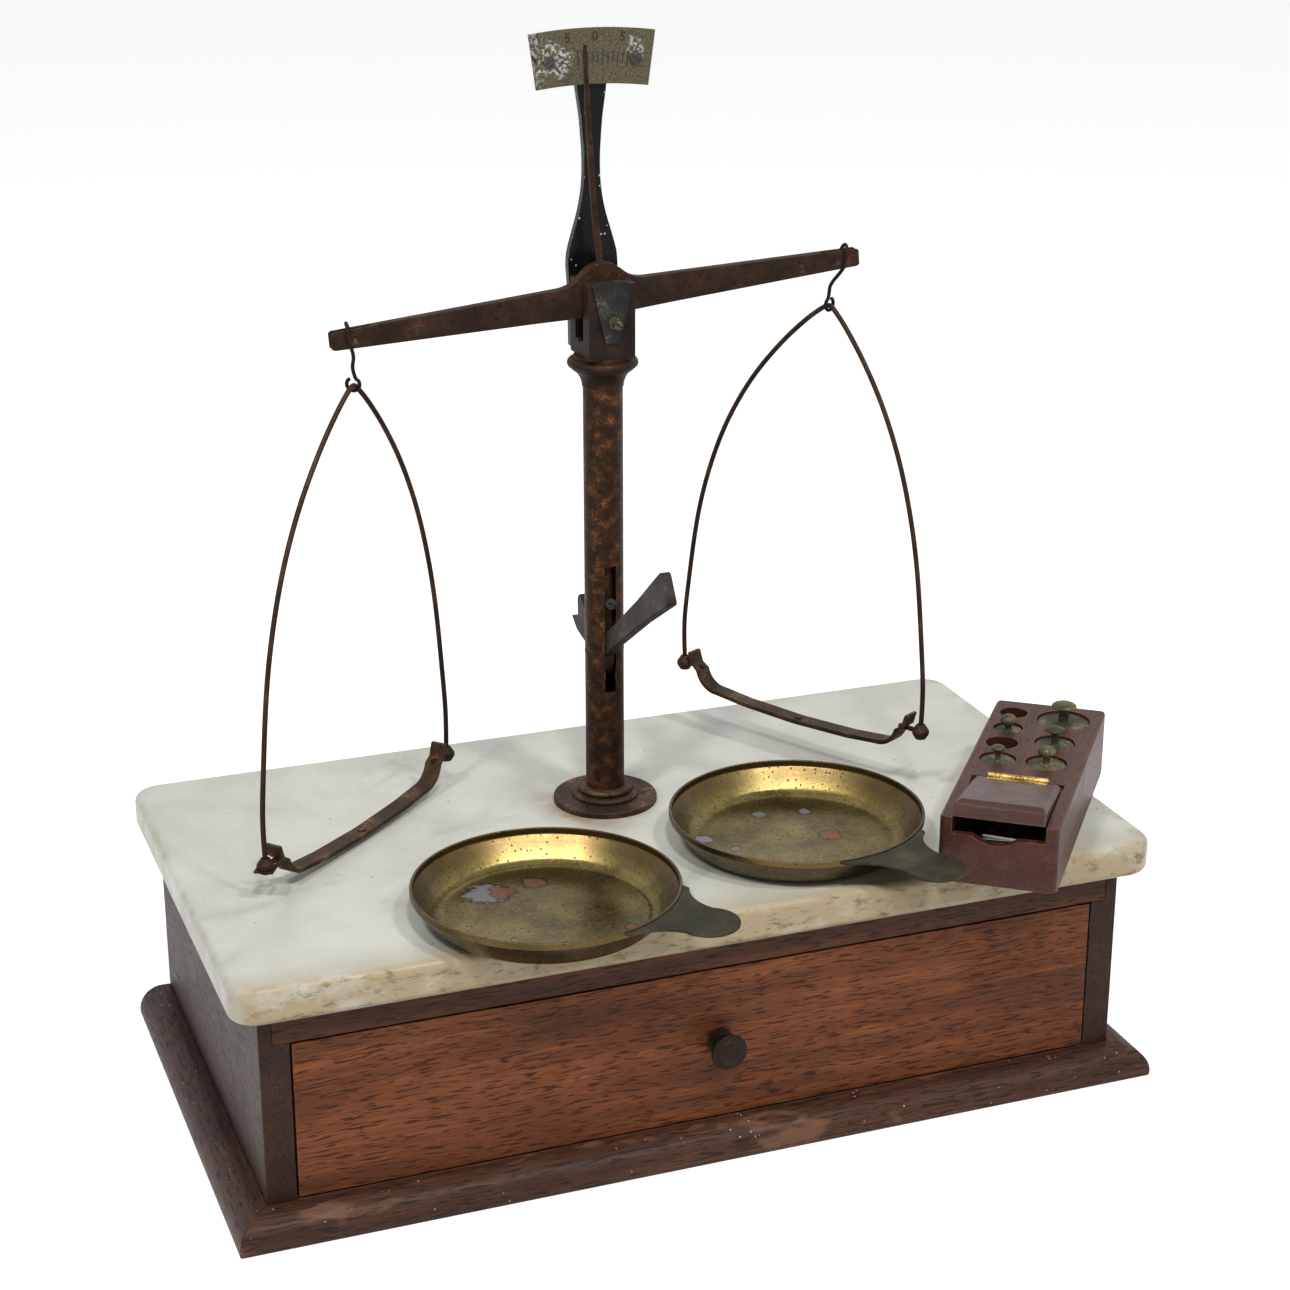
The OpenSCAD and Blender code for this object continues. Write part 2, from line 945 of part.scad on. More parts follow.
// Middle line of the strap, half of it, from its middle to the top of its turned up end
strap_low = -10.8;
function strap_half(t) = concat(
  [[0, strap_low - t], [2.6, strap_low - t], [30, strap_low + 0.9 - t], [46, strap_low + 2.4 - t]],
  arc([46.5, strap_low + 12.4], 10 + t, -85, -14, 8),
  [[59.8 + t * 0.9, 1.5], [61.6 + t * 0.8, 7]]
);

module strap_outline() {
  inner = strap_half(0);
  outer = strap_half(strap_t);
  last = len(inner) - 1;
  polygon(concat(
    [for (i = [last:-1:1]) [-inner[i][0], inner[i][1]]],
    inner,
    [for (i = [last:-1:1]) outer[i]],
    [for (i = [0:last]) [-outer[i][0], outer[i][1]]]
  ));
}

module strap(shift) {
  color(bronze)
    translate([-shift, 0, -bow_h])
      difference() {
        upright(-strap_w / 2, strap_w)
          strap_outline();
        translate([-100, 0, 0])
          rotate([0, 90, 0])
            cylinder(r = 1.1, h = 200);
        translate([0, 0, -20])
          cylinder(r = 1.2, h = 20);
      }
}

// Boss at the foot of a bow, with its stub through the strap and, on one, a bent square washer
module bow_feet(shift, washer) {
  color(bronze)
    translate([-shift, 0, -bow_h])
      for (s = [-1, 1])
        translate([s * bow_w / 2, 0, 0])
          difference() {
            union() {
              rotate_extrude()
                polygon(concat(
                  [[0, -3.2], [2.4, -3.2]],
                  arc([1.2, -0.2], 2.6, -40, 50, 8),
                  [[2, 3.3], [0, 3.3]]
                ));
              if (s == washer)
                rotate([0, 0, 20])
                  translate([-4, -4, -1.9])
                    cube([8, 8, 0.9]);
              translate([-s * 2, 0, 0])
                rotate([0, -s * 90, 0])
                  cylinder(r = 1.1, h = 9.5);
            }
            translate([0, 0, 1.4])
              cylinder(r = bow_wire / 2 + 0.05, h = 5);
          }
}

module rivet(shift) {
  color(brass)
    translate([-shift, 0, -bow_h + strap_low])
      union() {
        cylinder(r = 1.9, h = 0.6);
        translate([0, 0, -strap_t])
          cylinder(r = 1.2, h = strap_t + 0.3);
        translate([0, 0, -strap_t - 0.6])
          cylinder(r = 1.9, h = 0.6);
      }
}

module left_bow() {
  at_bow(left_hang, -1, left_bow_turn)
    bow(left_bow_shift);
}

module left_strap() {
  at_bow(left_hang, -1, left_bow_turn)
    strap(left_bow_shift);
}

module left_bow_feet() {
  at_bow(left_hang, -1, left_bow_turn)
    bow_feet(left_bow_shift, -1);
}

module left_rivet() {
  at_bow(left_hang, -1, left_bow_turn)
    rivet(left_bow_shift);
}

module right_bow() {
  at_bow(right_hang, -2.5, right_bow_turn)
    bow(right_bow_shift);
}

module right_strap() {
  at_bow(right_hang, -2.5, right_bow_turn)
    strap(right_bow_shift);
}

module right_bow_feet() {
  at_bow(right_hang, -2.5, right_bow_turn)
    bow_feet(right_bow_shift, 0);
}

module right_rivet() {
  at_bow(right_hang, -2.5, right_bow_turn)
    rivet(right_bow_shift);
}

// Pans, drawn about their middle on the marble with the tab along +X

module left_pan_place() {
  translate([-66, -84, slab_top])
    rotate([0, 0, -48.5])
      children();
}

module right_pan_place() {
  translate([58, -52, slab_top])
    rotate([0, 0, -68])
      children();
}

// Section of the dish, inset from its outside by t
module dish_section(t) {
  r = pan_d / 2;
  polygon(concat(
    [[0, t]],
    arc([r - 14, 9], 9 - t, -90, -35, 8),
    [[r - t, pan_h - 2.6], [r - t, pan_h + 3 * t], [0, pan_h + 3 * t]]
  ));
}

module dish() {
  color(brass)
    rotate_extrude($fn = 128)
      difference() {
        intersection() {
          dish_section(0);
          square([pan_d, pan_h]);
        }
        dish_section(pan_t);
      }
}

module tab(reach) {
  r = pan_d / 2;
  end_x = r + reach - tab_w / 2;
  neck = tab_w / 2 - 0.9;
  t = 1.2;
  color(bronze)
    translate([0, 0, pan_h - 1.6])
      difference() {
        union() {
          linear_extrude(t)
            polygon(concat(
              [[r - 8, -25.5], [r - 8, 25.5]],
              arc([r + 17, neck + 21.5], 21.5, 206, 262, 8),
              [[end_x - 2, neck + 0.3], [end_x - 2, -neck - 0.3]],
              arc([r + 17, -neck - 21.5], 21.5, 98, 154, 8)
            ));
          translate([end_x, 0, 0])
            cylinder(r = tab_w / 2, h = t);
        }
        translate([0, 0, -1])
          cylinder(r = r, h = t + 2);
      }
}

module left_pan() {
  left_pan_place()
    dish();
}

module left_pan_tab() {
  left_pan_place()
    tab(left_tab_len);
}

module right_pan() {
  right_pan_place()
    dish();
}

module right_pan_tab() {
  right_pan_place()
    tab(right_tab_len);
}

// Weight block: x across, y along to the back, z up from the marble

module block_place() {
  translate([block_x, block_y, slab_top])
    rotate([0, 0, block_turn])
      children();
}

// Each hole: across, along, diameter, depth
holes = [
  [8, 52.5, 23.8, 20],
  [8.4, 24.6, 18, 18],
  [8.4, 0.6, 18, 16],
  [-15, 55.2, 12.6, 12],
  [-14.4, 36.4, 13.4, 12],
  [-14, 18, 14.4, 13],
  [-12.6, -0.8, 16.2, 14]
];
box_w = 39;
box_front = -block_l / 2 + 3.4;
box_back = -27.4;
box_depth = 12;
lip = 7.2;

module weight_block() {
  c = 0.8;
  color(wood)
    block_place()
      difference() {
        intersection() {
          translate([0, block_l / 2, 0])
            rotate([90, 0, 0])
              linear_extrude(block_l)
                polygon([
                  [-block_w / 2, 0], [block_w / 2, 0], [block_w / 2, block_h - c],
                  [block_w / 2 - c, block_h], [c - block_w / 2, block_h], [-block_w / 2, block_h - c]
                ]);
          linear_extrude(block_h + 1)
            round_rect(block_w, block_l, 3);
        }
        for (h = holes)
          translate([h[0], h[1], block_h - h[3]])
            cylinder(d = h[2], h = h[3] + 1);
        translate([-box_w / 2, box_front, block_h - box_depth])
          cube([box_w, box_back - box_front, box_depth + 1]);
        translate([-box_w / 2, -block_l, block_h - lip])
          cube([box_w, block_l + box_back, lip + 1]);
        translate([-1.5, -block_l / 2 + 5, block_h - lip + 11.6])
          rod_y(15, -10, 0);
        translate([-13.2, lid_axis_y + 0.1, block_h - 0.7])
          cube([26.4, 4.2, 2]);
        translate([-20, lid_axis_y - 5, block_h - 3.4])
          cube([40, 5.6, 5]);
      }
}

module lid_turned() {
  block_place()
    translate([0, lid_axis_y, block_h + 1.1])
      rotate([-lid_open, 0, 0])
        translate([0, -lid_axis_y, -block_h - 1.1])
          children();
}

module block_lid() {
  w = box_w - 1;
  front = box_front - 2.6;
  back = lid_axis_y - 1.6;
  bottom = block_h - lip + 0.4;
  top = block_h + 0.6;
  color(wood)
    lid_turned()
      difference() {
        intersection() {
          translate([-w / 2, 0, 0])
            rotate([90, 0, 90])
              linear_extrude(w)
                polygon([[front, bottom], [box_back - 0.6, bottom], [box_back - 0.6, block_h - 2.8],
                  [back, block_h - 2.8], [back, top], [front + 3, top], [front, top - 1.8]]);
          translate([0, 100, 0])
            rotate([90, 0, 0])
              linear_extrude(200)
                polygon([[-w / 2, 0], [w / 2, 0], [w / 2, top - 1.6], [w / 2 - 2, top],
                  [2 - w / 2, top], [-w / 2, top - 1.6]]);
        }
        translate([-13.2, lid_axis_y - 5, top - 0.6])
          cube([26.4, 5, 2]);
      }
}

// Hinge: two leaves with shared knuckles on one pin
module knuckles(which) {
  n = 5;
  len_each = 26 / n;
  difference() {
    union()
      for (i = [0:n - 1])
        if (i % 2 == which)
          translate([-13 + i * len_each + 0.1, 0, 0])
            rotate([0, 90, 0])
              cylinder(r = 1.3, h = len_each - 0.2);
    translate([-20, 0, 0])
      rotate([0, 90, 0])
        cylinder(r = 0.75, h = 40);
  }
}

module hinge_block_leaf() {
  color(brass)
    block_place()
      union() {
        translate([0, lid_axis_y, block_h + 1.1])
          knuckles(0);
        difference() {
          translate([-13, lid_axis_y + 0.4, block_h - 0.7])
            cube([26, 3.8, 0.8]);
          translate([0, lid_axis_y, block_h + 1.1])
            knuckle_room(1);
        }
      }
}

// Room round the other leaf's knuckles
module knuckle_room(which) {
  for (i = [0:4])
    if (i % 2 == which)
      translate([-13 + i * 5.2 - 0.1, 0, 0])
        rotate([0, 90, 0])
          cylinder(r = 1.65, h = 5.4);
}

module hinge_lid_leaf() {
  color(brass)
    lid_turned()
      difference() {
        union() {
          translate([0, lid_axis_y, block_h + 1.1])
            knuckles(1);
          difference() {
            translate([-13, lid_axis_y - 4.4, block_h])
              cube([26, 4, 0.8]);
            translate([0, lid_axis_y, block_h + 1.1])
              knuckle_room(0);
          }
        }
        translate([-20, lid_axis_y, block_h + 1.1])
          rotate([0, 90, 0])
            cylinder(r = 0.75, h = 40);
      }
}

module hinge_pin() {
  color(brass)
    block_place()
      translate([-13, lid_axis_y, block_h + 1.1])
        rotate([0, 90, 0])
          cylinder(r = 0.7, h = 26);
}

// A knobbed weight in hole number i, with a knob of diameter k whose widest line is zc above the
// block's top. The knob goes up and down from there.
module knob_weight(i, k, zc, up, down) {
  h = holes[i];
  r = h[2] / 2 - 0.35;
  z0 = block_h - h[3] + 0.05;
  body = h[3] - 0.9;
  c = h[3] + zc;
  color(brass)
    block_place()
      translate([h[0], h[1], z0])
        rotate_extrude()
          union() {
            square([r - 0.6, body]);
            translate([0, 0.6])
              square([r, body - 1.2]);
            translate([r - 0.6, body - 0.6])
              circle(0.6);
            translate([r - 0.6, 0.6])
              circle(0.6);
            square([k * 0.32, body + 0.6]);
            square([k * 0.2, c]);
            polygon([
              for (a = [-90:15:90]) [k / 2 * pow(cos(a), 0.75), c + (a < 0 ? down : up) * sin(a)]
            ]);
          }
}

module weight_50() {
  knob_weight(0, 11.3, 6.7, 1.8, 1.1);
}

module weight_20_back() {
  knob_weight(1, 8.6, 6, 1.4, 1);
}

module weight_20_front() {
  knob_weight(2, 7.9, 5.1, 2.7, 2.4);
}

module weight_5() {
  knob_weight(4, 7.4, 3.5, 2.7, 2.5);
}

module weight_10() {
  knob_weight(6, 6.3, 4.7, 1.5, 1.1);
}

// Thin sheet weights lying loose in the small box
module leaf_weights() {
  color("#a9abac")
    block_place()
      for (leaf = [[-3, -57, 26, 9, 1, 4], [3, -55, 22, 9, 2, -5], [1, -44, 14, 14, 0, 30]])
        translate([leaf[0], leaf[1], block_h - box_depth + 0.02 + leaf[4] * 0.5])
          rotate([0, 0, leaf[5]])
            translate([-leaf[2] / 2, -leaf[3] / 2, 0])
              cube([leaf[2], leaf[3], 0.45]);
}

bottom_board();
left_side();
right_side();
case_back();
top_board();
top_rail();
plinth_front();
plinth_left();
plinth_right();
marble_slab();
drawer_front();
drawer_sides();
drawer_back();
drawer_bottom();
drawer_knob();
column_flange();
flange_screws();
column_tube();
column_capital();
lever_pin();
arrest_lever();
lift_rod();
bearing_fork();
guide_screw();
head_block();
shield_plate();
shield_screw();
index_arm();
arm_screws();
scale_plate();
scale_screws();
beam();
centre_knife();
end_knives();
pointer();
left_hook();
left_bow();
left_strap();
left_bow_feet();
left_rivet();
right_hook();
right_bow();
right_strap();
right_bow_feet();
right_rivet();
left_pan();
left_pan_tab();
right_pan();
right_pan_tab();
weight_block();
block_lid();
hinge_block_leaf();
hinge_lid_leaf();
hinge_pin();
weight_50();
weight_20_back();
weight_20_front();
weight_5();
weight_10();
leaf_weights();
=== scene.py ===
# %% [markdown]
# # A pharmacist's column balance
#
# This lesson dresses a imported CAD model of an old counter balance: a drawer case of mahogany under
# a slab of marble, a brass column with a swinging beam, two wire stirrups, two loose pans and a
# block of brass weights. The CAD model gives each piece its size, place and joint. What is left to
# do here is what the eye reads as age: rounded edges, patina, stains, grain and wear.

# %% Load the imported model
import bpy
import bmesh
import json
import math
from mathutils import Matrix, Vector


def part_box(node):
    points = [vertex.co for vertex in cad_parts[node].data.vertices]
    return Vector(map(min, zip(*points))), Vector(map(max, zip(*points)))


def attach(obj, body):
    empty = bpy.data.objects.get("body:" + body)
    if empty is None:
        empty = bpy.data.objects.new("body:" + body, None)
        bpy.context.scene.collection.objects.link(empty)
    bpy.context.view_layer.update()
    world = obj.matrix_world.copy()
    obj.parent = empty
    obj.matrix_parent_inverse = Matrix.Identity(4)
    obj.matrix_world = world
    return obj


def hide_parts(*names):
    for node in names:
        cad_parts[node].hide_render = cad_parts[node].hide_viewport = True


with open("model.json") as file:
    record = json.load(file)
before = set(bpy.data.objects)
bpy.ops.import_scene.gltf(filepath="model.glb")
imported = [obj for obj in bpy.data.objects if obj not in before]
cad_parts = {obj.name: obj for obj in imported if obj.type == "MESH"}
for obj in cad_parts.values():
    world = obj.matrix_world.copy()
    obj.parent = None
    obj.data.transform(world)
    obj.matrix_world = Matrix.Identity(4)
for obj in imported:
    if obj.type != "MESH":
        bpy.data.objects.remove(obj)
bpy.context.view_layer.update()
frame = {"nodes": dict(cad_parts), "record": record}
MM = 0.001

# %% [markdown]
# ## The camera
#
# The photograph was taken from the left of the front, a little above the beam. Its place was worked
# out from the corners of the case and slab, so the same corners land on the same spots here. A
# camera looks along its own -Z axis, so its matrix is built from three directions. The Standard view
# shows each colour as it is written.

# %% Camera
camera = bpy.data.objects.new("camera", bpy.data.cameras.new("camera"))
bpy.context.scene.collection.objects.link(camera)
turn, tip, roll = (math.radians(a) for a in (-21.28, 20.14, 0.26))
ahead = Vector((-math.sin(turn) * math.cos(tip), math.cos(turn) * math.cos(tip), -math.sin(tip)))
level_right = Vector((math.cos(turn), math.sin(turn), 0))
level_up = level_right.cross(ahead)
right = math.cos(roll) * level_right + math.sin(roll) * level_up
up = -math.sin(roll) * level_right + math.cos(roll) * level_up
eye = Vector((-0.36169, -0.99021, 0.57701))
camera.matrix_world = Matrix.Translation(eye) @ Matrix((right, up, -ahead)).transposed().to_4x4()
camera.data.sensor_width = 36
camera.data.lens = 72.68
camera.data.shift_x = -0.02688
camera.data.shift_y = -0.0004
camera.data.clip_start = 0.01
bpy.context.scene.camera = camera
bpy.context.scene.view_settings.view_transform = "Standard"
print("camera looks along", [round(c, 3) for c in ahead])

# %% [markdown]
# ## Light and floor
#
# The object stands on white paper in soft light. Three small lamps above the camera give the bright
# spots that dished metal collects. A pale background could come from more light, but that would
# bleach the marble. So the world is white only to the camera and to reflections, and mild to
# diffuse light, and nothing on the object clips.

# %% World
mild, full = 0.26, 1
world = bpy.data.worlds.new("studio")
bpy.context.scene.world = world
world.use_nodes = True
w_nodes, w_links = world.node_tree.nodes, world.node_tree.links
w_nodes.clear()
path = w_nodes.new("ShaderNodeLightPath")
seen = w_nodes.new("ShaderNodeMath")
seen.operation = "ADD"
seen.use_clamp = True
w_links.new(path.outputs["Is Camera Ray"], seen.inputs[0])
seen_more = w_nodes.new("ShaderNodeMath")
seen_more.operation = "ADD"
seen_more.use_clamp = True
w_links.new(path.outputs["Is Glossy Ray"], seen_more.inputs[0])
w_links.new(path.outputs["Is Transmission Ray"], seen_more.inputs[1])
w_links.new(seen_more.outputs[0], seen.inputs[1])
soft = w_nodes.new("ShaderNodeBackground")
soft.inputs["Color"].default_value = (0.95, 0.97, 1, 1)
soft.inputs["Strength"].default_value = mild
white = w_nodes.new("ShaderNodeBackground")
white.inputs["Color"].default_value = (1, 1, 1, 1)
white.inputs["Strength"].default_value = full
pick = w_nodes.new("ShaderNodeMixShader")
w_out = w_nodes.new("ShaderNodeOutputWorld")
w_links.new(seen.outputs[0], pick.inputs[0])
w_links.new(soft.outputs[0], pick.inputs[1])
w_links.new(white.outputs[0], pick.inputs[2])
w_links.new(pick.outputs[0], w_out.inputs["Surface"])
print("world gives", mild, "to diffuse light and", full, "to the eye")


# %% Lamps
lamp_width = 0.22
lamp_colour = (1, 0.98, 0.95)
lit_spot = Vector((0, 0, 0.15))


def lamp(name, place, watts):
    light = bpy.data.lights.new(name, "AREA")
    light.shape = "DISK"
    light.size = lamp_width
    light.energy = watts
    light.color = lamp_colour
    o = bpy.data.objects.new(name, light)
    bpy.context.scene.collection.objects.link(o)
    o.location = place
    o.rotation_euler = (lit_spot - Vector(place)).to_track_quat("-Z", "Y").to_euler()
    return o


lamp("lamp_middle", (-0.25, -1.15, 1.75), 14)
lamp("lamp_left", (-0.95, -0.75, 1.7), 12)
lamp("lamp_right", (0.45, -1.1, 1.8), 12)

# %% Floor
floor_reach = 12
floor_drop = 0.0002
floor_mesh = bmesh.new()
bmesh.ops.create_grid(floor_mesh, x_segments=1, y_segments=1, size=floor_reach)
bmesh.ops.translate(floor_mesh, verts=floor_mesh.verts, vec=(0, 0, -floor_drop))
floor_data = bpy.data.meshes.new("floor")
floor_mesh.to_mesh(floor_data)
floor_mesh.free()
floor = bpy.data.objects.new("floor", floor_data)
bpy.context.scene.collection.objects.link(floor)
print("the floor is", 2 * floor_reach, "m wide")

# %% [markdown]
# ## Shader maths as arithmetic
#
# Each finish below is a recipe with many small sums. Writing them with nodes alone would bury the
# idea, so one small class stands for a node's output and turns +, - and * into Math nodes. A second
# class holds a material and adds any other node by its type.


# %% A node's output that can be added and multiplied
class Wire:
    def __init__(self, finish, socket):
        self.finish = finish
        self.socket = socket

    def sum(self, operation, a, b):
        return self.finish.node("ShaderNodeMath", {"operation": operation}, {0: a, 1: b})

    def __add__(self, other):
        return self.sum("ADD", self, other)

    def __radd__(self, other):
        return self.sum("ADD", other, self)

    def __sub__(self, other):
        return self.sum("SUBTRACT", self, other)

    def __rsub__(self, other):
        return self.sum("SUBTRACT", other, self)

    def __mul__(self, other):
        return self.sum("MULTIPLY", self, other)

    def __rmul__(self, other):
        return self.sum("MULTIPLY", other, self)

    def __pow__(self, other):
        return self.sum("POWER", self, other)

    def least(self, other):
        return self.sum("MINIMUM", self, other)

    def most(self, other):
        return self.sum("MAXIMUM", self, other)

    def rise(self, low, high):
        """0 below low, 1 above high, and a smooth step between them"""
        return self.finish.node(
            "ShaderNodeMapRange",
            {"interpolation_type": "SMOOTHSTEP"},
            {"Value": self, "From Min": low, "From Max": high},
        )

    def fall(self, low, high):
        return 1 - self.rise(low, high)


# %% A material with one method for its nodes
class Finish:
    def __init__(self, name):
        self.material = bpy.data.materials.new(name)
        self.material.use_nodes = True
        self.tree = self.material.node_tree
        self.tree.nodes.clear()
        self.surface = self.tree.nodes.new("ShaderNodeBsdfPrincipled")
        self.output = self.tree.nodes.new("ShaderNodeOutputMaterial")
        self.tree.links.new(self.surface.outputs[0], self.output.inputs["Surface"])

    def node(self, kind, settings, inputs, output=0):
        made = self.tree.nodes.new(kind)
        for key, value in settings.items():
            setattr(made, key, value)
        for key, value in inputs.items():
            self.feed(made.inputs[key], value)
        return Wire(self, made.outputs[output])

    def feed(self, socket, value):
        if isinstance(value, Wire):
            self.tree.links.new(value.socket, socket)
        elif hasattr(value, "__len__") and len(value) == 3 and socket.type == "RGBA":
            socket.default_value = (*value, 1)
        else:
            socket.default_value = value

    def set(self, **values):
        """Feeds the surface's sockets: base_color=..., roughness=..."""
        for key, value in values.items():
            self.feed(self.surface.inputs[key.replace("_", " ").title()], value)

    def at(self, origin=(0, 0, 0), turn_z=0.0):
        """Object coordinates in millimetres from an origin, then turned about Z"""
        found = self.node("ShaderNodeTexCoord", {}, {}, output=3)
        ox, oy, oz = origin
        a = math.radians(turn_z)
        moved = self.node(
            "ShaderNodeMapping", {"vector_type": "POINT"},
            {"Vector": found, "Scale": (1000, 1000, 1000), "Location": (-ox, -oy, -oz)},
        )
        return self.node(
            "ShaderNodeMapping", {"vector_type": "POINT"},
            {"Vector": moved, "Rotation": (0, 0, -a)},
        ) if turn_z else moved

    def stretch(self, vector, scale):
        return self.node(
            "ShaderNodeMapping", {"vector_type": "POINT"}, {"Vector": vector, "Scale": scale}
        )

    def parts(self, vector):
        split = self.tree.nodes.new("ShaderNodeSeparateXYZ")
        self.feed(split.inputs[0], vector)
        return [Wire(self, o) for o in split.outputs]

    def join(self, x, y, z):
        return self.node("ShaderNodeCombineXYZ", {}, {0: x, 1: y, 2: z})

    def noise(self, vector, size, detail=3, rough=0.55, bend=0.0):
        """Soft random values between 0 and 1, with spots about size millimetres wide"""
        return self.node(
            "ShaderNodeTexNoise", {},
            {
                "Vector": vector, "Scale": 1 / size, "Detail": detail,
                "Roughness": rough, "Distortion": bend,
            },
        )

    def cells(self, vector, size):
        """How far each spot is from the nearest of many scattered points, about size apart"""
        return self.node("ShaderNodeTexVoronoi", {}, {"Vector": vector, "Scale": 1 / size})

    def vector_sum(self, operation, a, b):
        return self.node("ShaderNodeVectorMath", {"operation": operation}, {0: a, 1: b})

    def sway(self, vector, size, amount):
        """The coordinates pushed about by amount millimetres, in waves about size wide"""
        swing = self.node(
            "ShaderNodeTexNoise", {}, {"Vector": vector, "Scale": 1 / size, "Detail": 2}, output=1
        )
        centred = self.vector_sum("SUBTRACT", swing, (0.5, 0.5, 0.5))
        scaled = self.node(
            "ShaderNodeVectorMath", {"operation": "SCALE"}, {0: centred, "Scale": amount}
        )
        return self.vector_sum("ADD", vector, scaled)

    def mix(self, mask, a, b):
        """Colour a where the mask is 0, colour b where it is 1"""
        return self.node("ShaderNodeMix", {"data_type": "RGBA"}, {0: mask, 6: a, 7: b}, output=2)

    def bump(self, height, depth, strength=1.0):
        """Surface relief: height from 0 to 1, over depth millimetres"""
        return self.node(
            "ShaderNodeBump", {}, {"Height": height, "Distance": depth * MM, "Strength": strength}
        )

    def edges(self, radius, low=0.02, high=0.25):
        """1 along edges and corners, 0 on open faces"""
        rounded = self.node("ShaderNodeBevel", {"samples": 4}, {"Radius": radius * MM})
        true = self.node("ShaderNodeNewGeometry", {}, {}, output=1)
        facing = self.node(
            "ShaderNodeVectorMath", {"operation": "DOT_PRODUCT"}, {0: rounded, 1: true}, output=1
        )
        return (1 - facing).rise(low, high)


# %% [markdown]
# ## White paper
#
# The paper is a pale matt colour, so the object's shadow falls on it. To the eye, and in
# reflections, it also glows a little, which lifts the lit paper to white and keeps the shadow.

# %% The floor's white paper
paper_glow = 0.64
paper = Finish("paper")
paper.set(base_color=(0.9, 0.9, 0.9), roughness=0.9)
paper_path = paper.tree.nodes.new("ShaderNodeLightPath")
seen_by_eye = (
    Wire(paper, paper_path.outputs["Is Camera Ray"])
    + Wire(paper, paper_path.outputs["Is Glossy Ray"])
    + Wire(paper, paper_path.outputs["Is Transmission Ray"])
).least(1)
glow = paper.tree.nodes.new("ShaderNodeEmission")
paper.feed(glow.inputs["Strength"], seen_by_eye * paper_glow)
both = paper.tree.nodes.new("ShaderNodeAddShader")
paper.tree.links.new(paper.surface.outputs[0], both.inputs[0])
paper.tree.links.new(glow.outputs[0], both.inputs[1])
paper.tree.links.new(both.outputs[0], paper.output.inputs["Surface"])
floor.data.materials.append(paper.material)
print("paper glows by", paper_glow)

# %% [markdown]
# ## Mahogany
#
# Mahogany is a red-brown wood with fine dark pores that read as short dashes along the grain. The
# recipe stretches noise along the board: long soft bands for the yearly growth, thin fibres, and
# dashes for the pores. A slow sideways sway bends them all together, as the tree grew. The same
# function makes each board, with its own grain direction and its own amount of dirt.


# %% Wood recipe
grime_depth = 0.35
scuffed, dusty = (0.20, 0.10, 0.06), (0.62, 0.58, 0.5)


def mahogany(
    name, axis, pale, middle, deep, pore, seed=0.0, gloss=0.36, dash=1.0, figure=3.0,
    wear=(0.25, 0.12, 0.06), wear_amount=0.6, turn_z=0.0, dirt=0.5, sheen=0.16, specks=0.0,
    patches=0.0,
):
    f = Finish(name)
    spot = f.at(origin=(seed, seed * 0.7, -seed * 0.4), turn_z=turn_z)
    x, y, z = f.parts(spot)
    along, across, through = {"x": (x, z, y), "y": (y, z, x), "z": (z, x, y)}[axis]
    grain = f.join(along, across, through)
    bent = f.sway(f.stretch(grain, (0.35, 1, 1)), 26, figure)
    bent = f.sway(bent, 7, figure * 0.28)
    bands = f.noise(f.stretch(bent, (0.12, 1, 1)), 9, detail=4, rough=0.6)
    fibre = f.noise(f.stretch(bent, (0.1, 1, 1)), 1.1, detail=3, rough=0.6)
    dashes = f.noise(f.stretch(bent, (0.34, 1, 1)), 0.95, detail=2, rough=0.4)
    pores = dashes.rise(0.54, 0.64) * dash
    broad = f.noise(grain, 70, detail=2)
    colour = f.mix((bands * 0.7 + broad * 0.3).rise(0.3, 0.68), deep, middle)
    colour = f.mix((fibre * 0.6 + bands * 0.4).rise(0.46, 0.74), colour, pale)
    colour = f.mix(pores * 0.85, colour, pore)
    grime = f.noise(spot, 24, detail=6, rough=0.7)
    colour = f.mix(grime.rise(0.5, 0.8) * dirt, colour, tuple(c * grime_depth for c in deep))
    edge = f.edges(1.1) * f.noise(spot, 6, detail=4).rise(0.42, 0.6)
    colour = f.mix(edge * wear_amount, colour, wear)
    if patches:
        rubbed = f.noise(f.stretch(spot, (0.4, 1, 1)), 16, detail=3).rise(0.56, 0.64)
        colour = f.mix(rubbed * patches, colour, scuffed)
    if specks:
        dust = f.cells(spot, 4.2).fall(0.05, 0.11) * f.noise(spot, 18).rise(0.42, 0.6)
        colour = f.mix(dust * specks, colour, dusty)
    f.set(
        base_color=colour,
        roughness=(gloss + fibre * 0.16 + grime * 0.14 + pores * 0.1).least(0.95),
    )
    f.set(coat_weight=(1 - grime) * 0.06)
    f.surface.inputs["Coat Roughness"].default_value = 0.3
    f.surface.inputs["Specular IOR Level"].default_value = sheen
    f.set(normal=f.bump(fibre * 0.35 - pores * 0.8 + grime * 0.3, 0.12, 0.7))
    return f


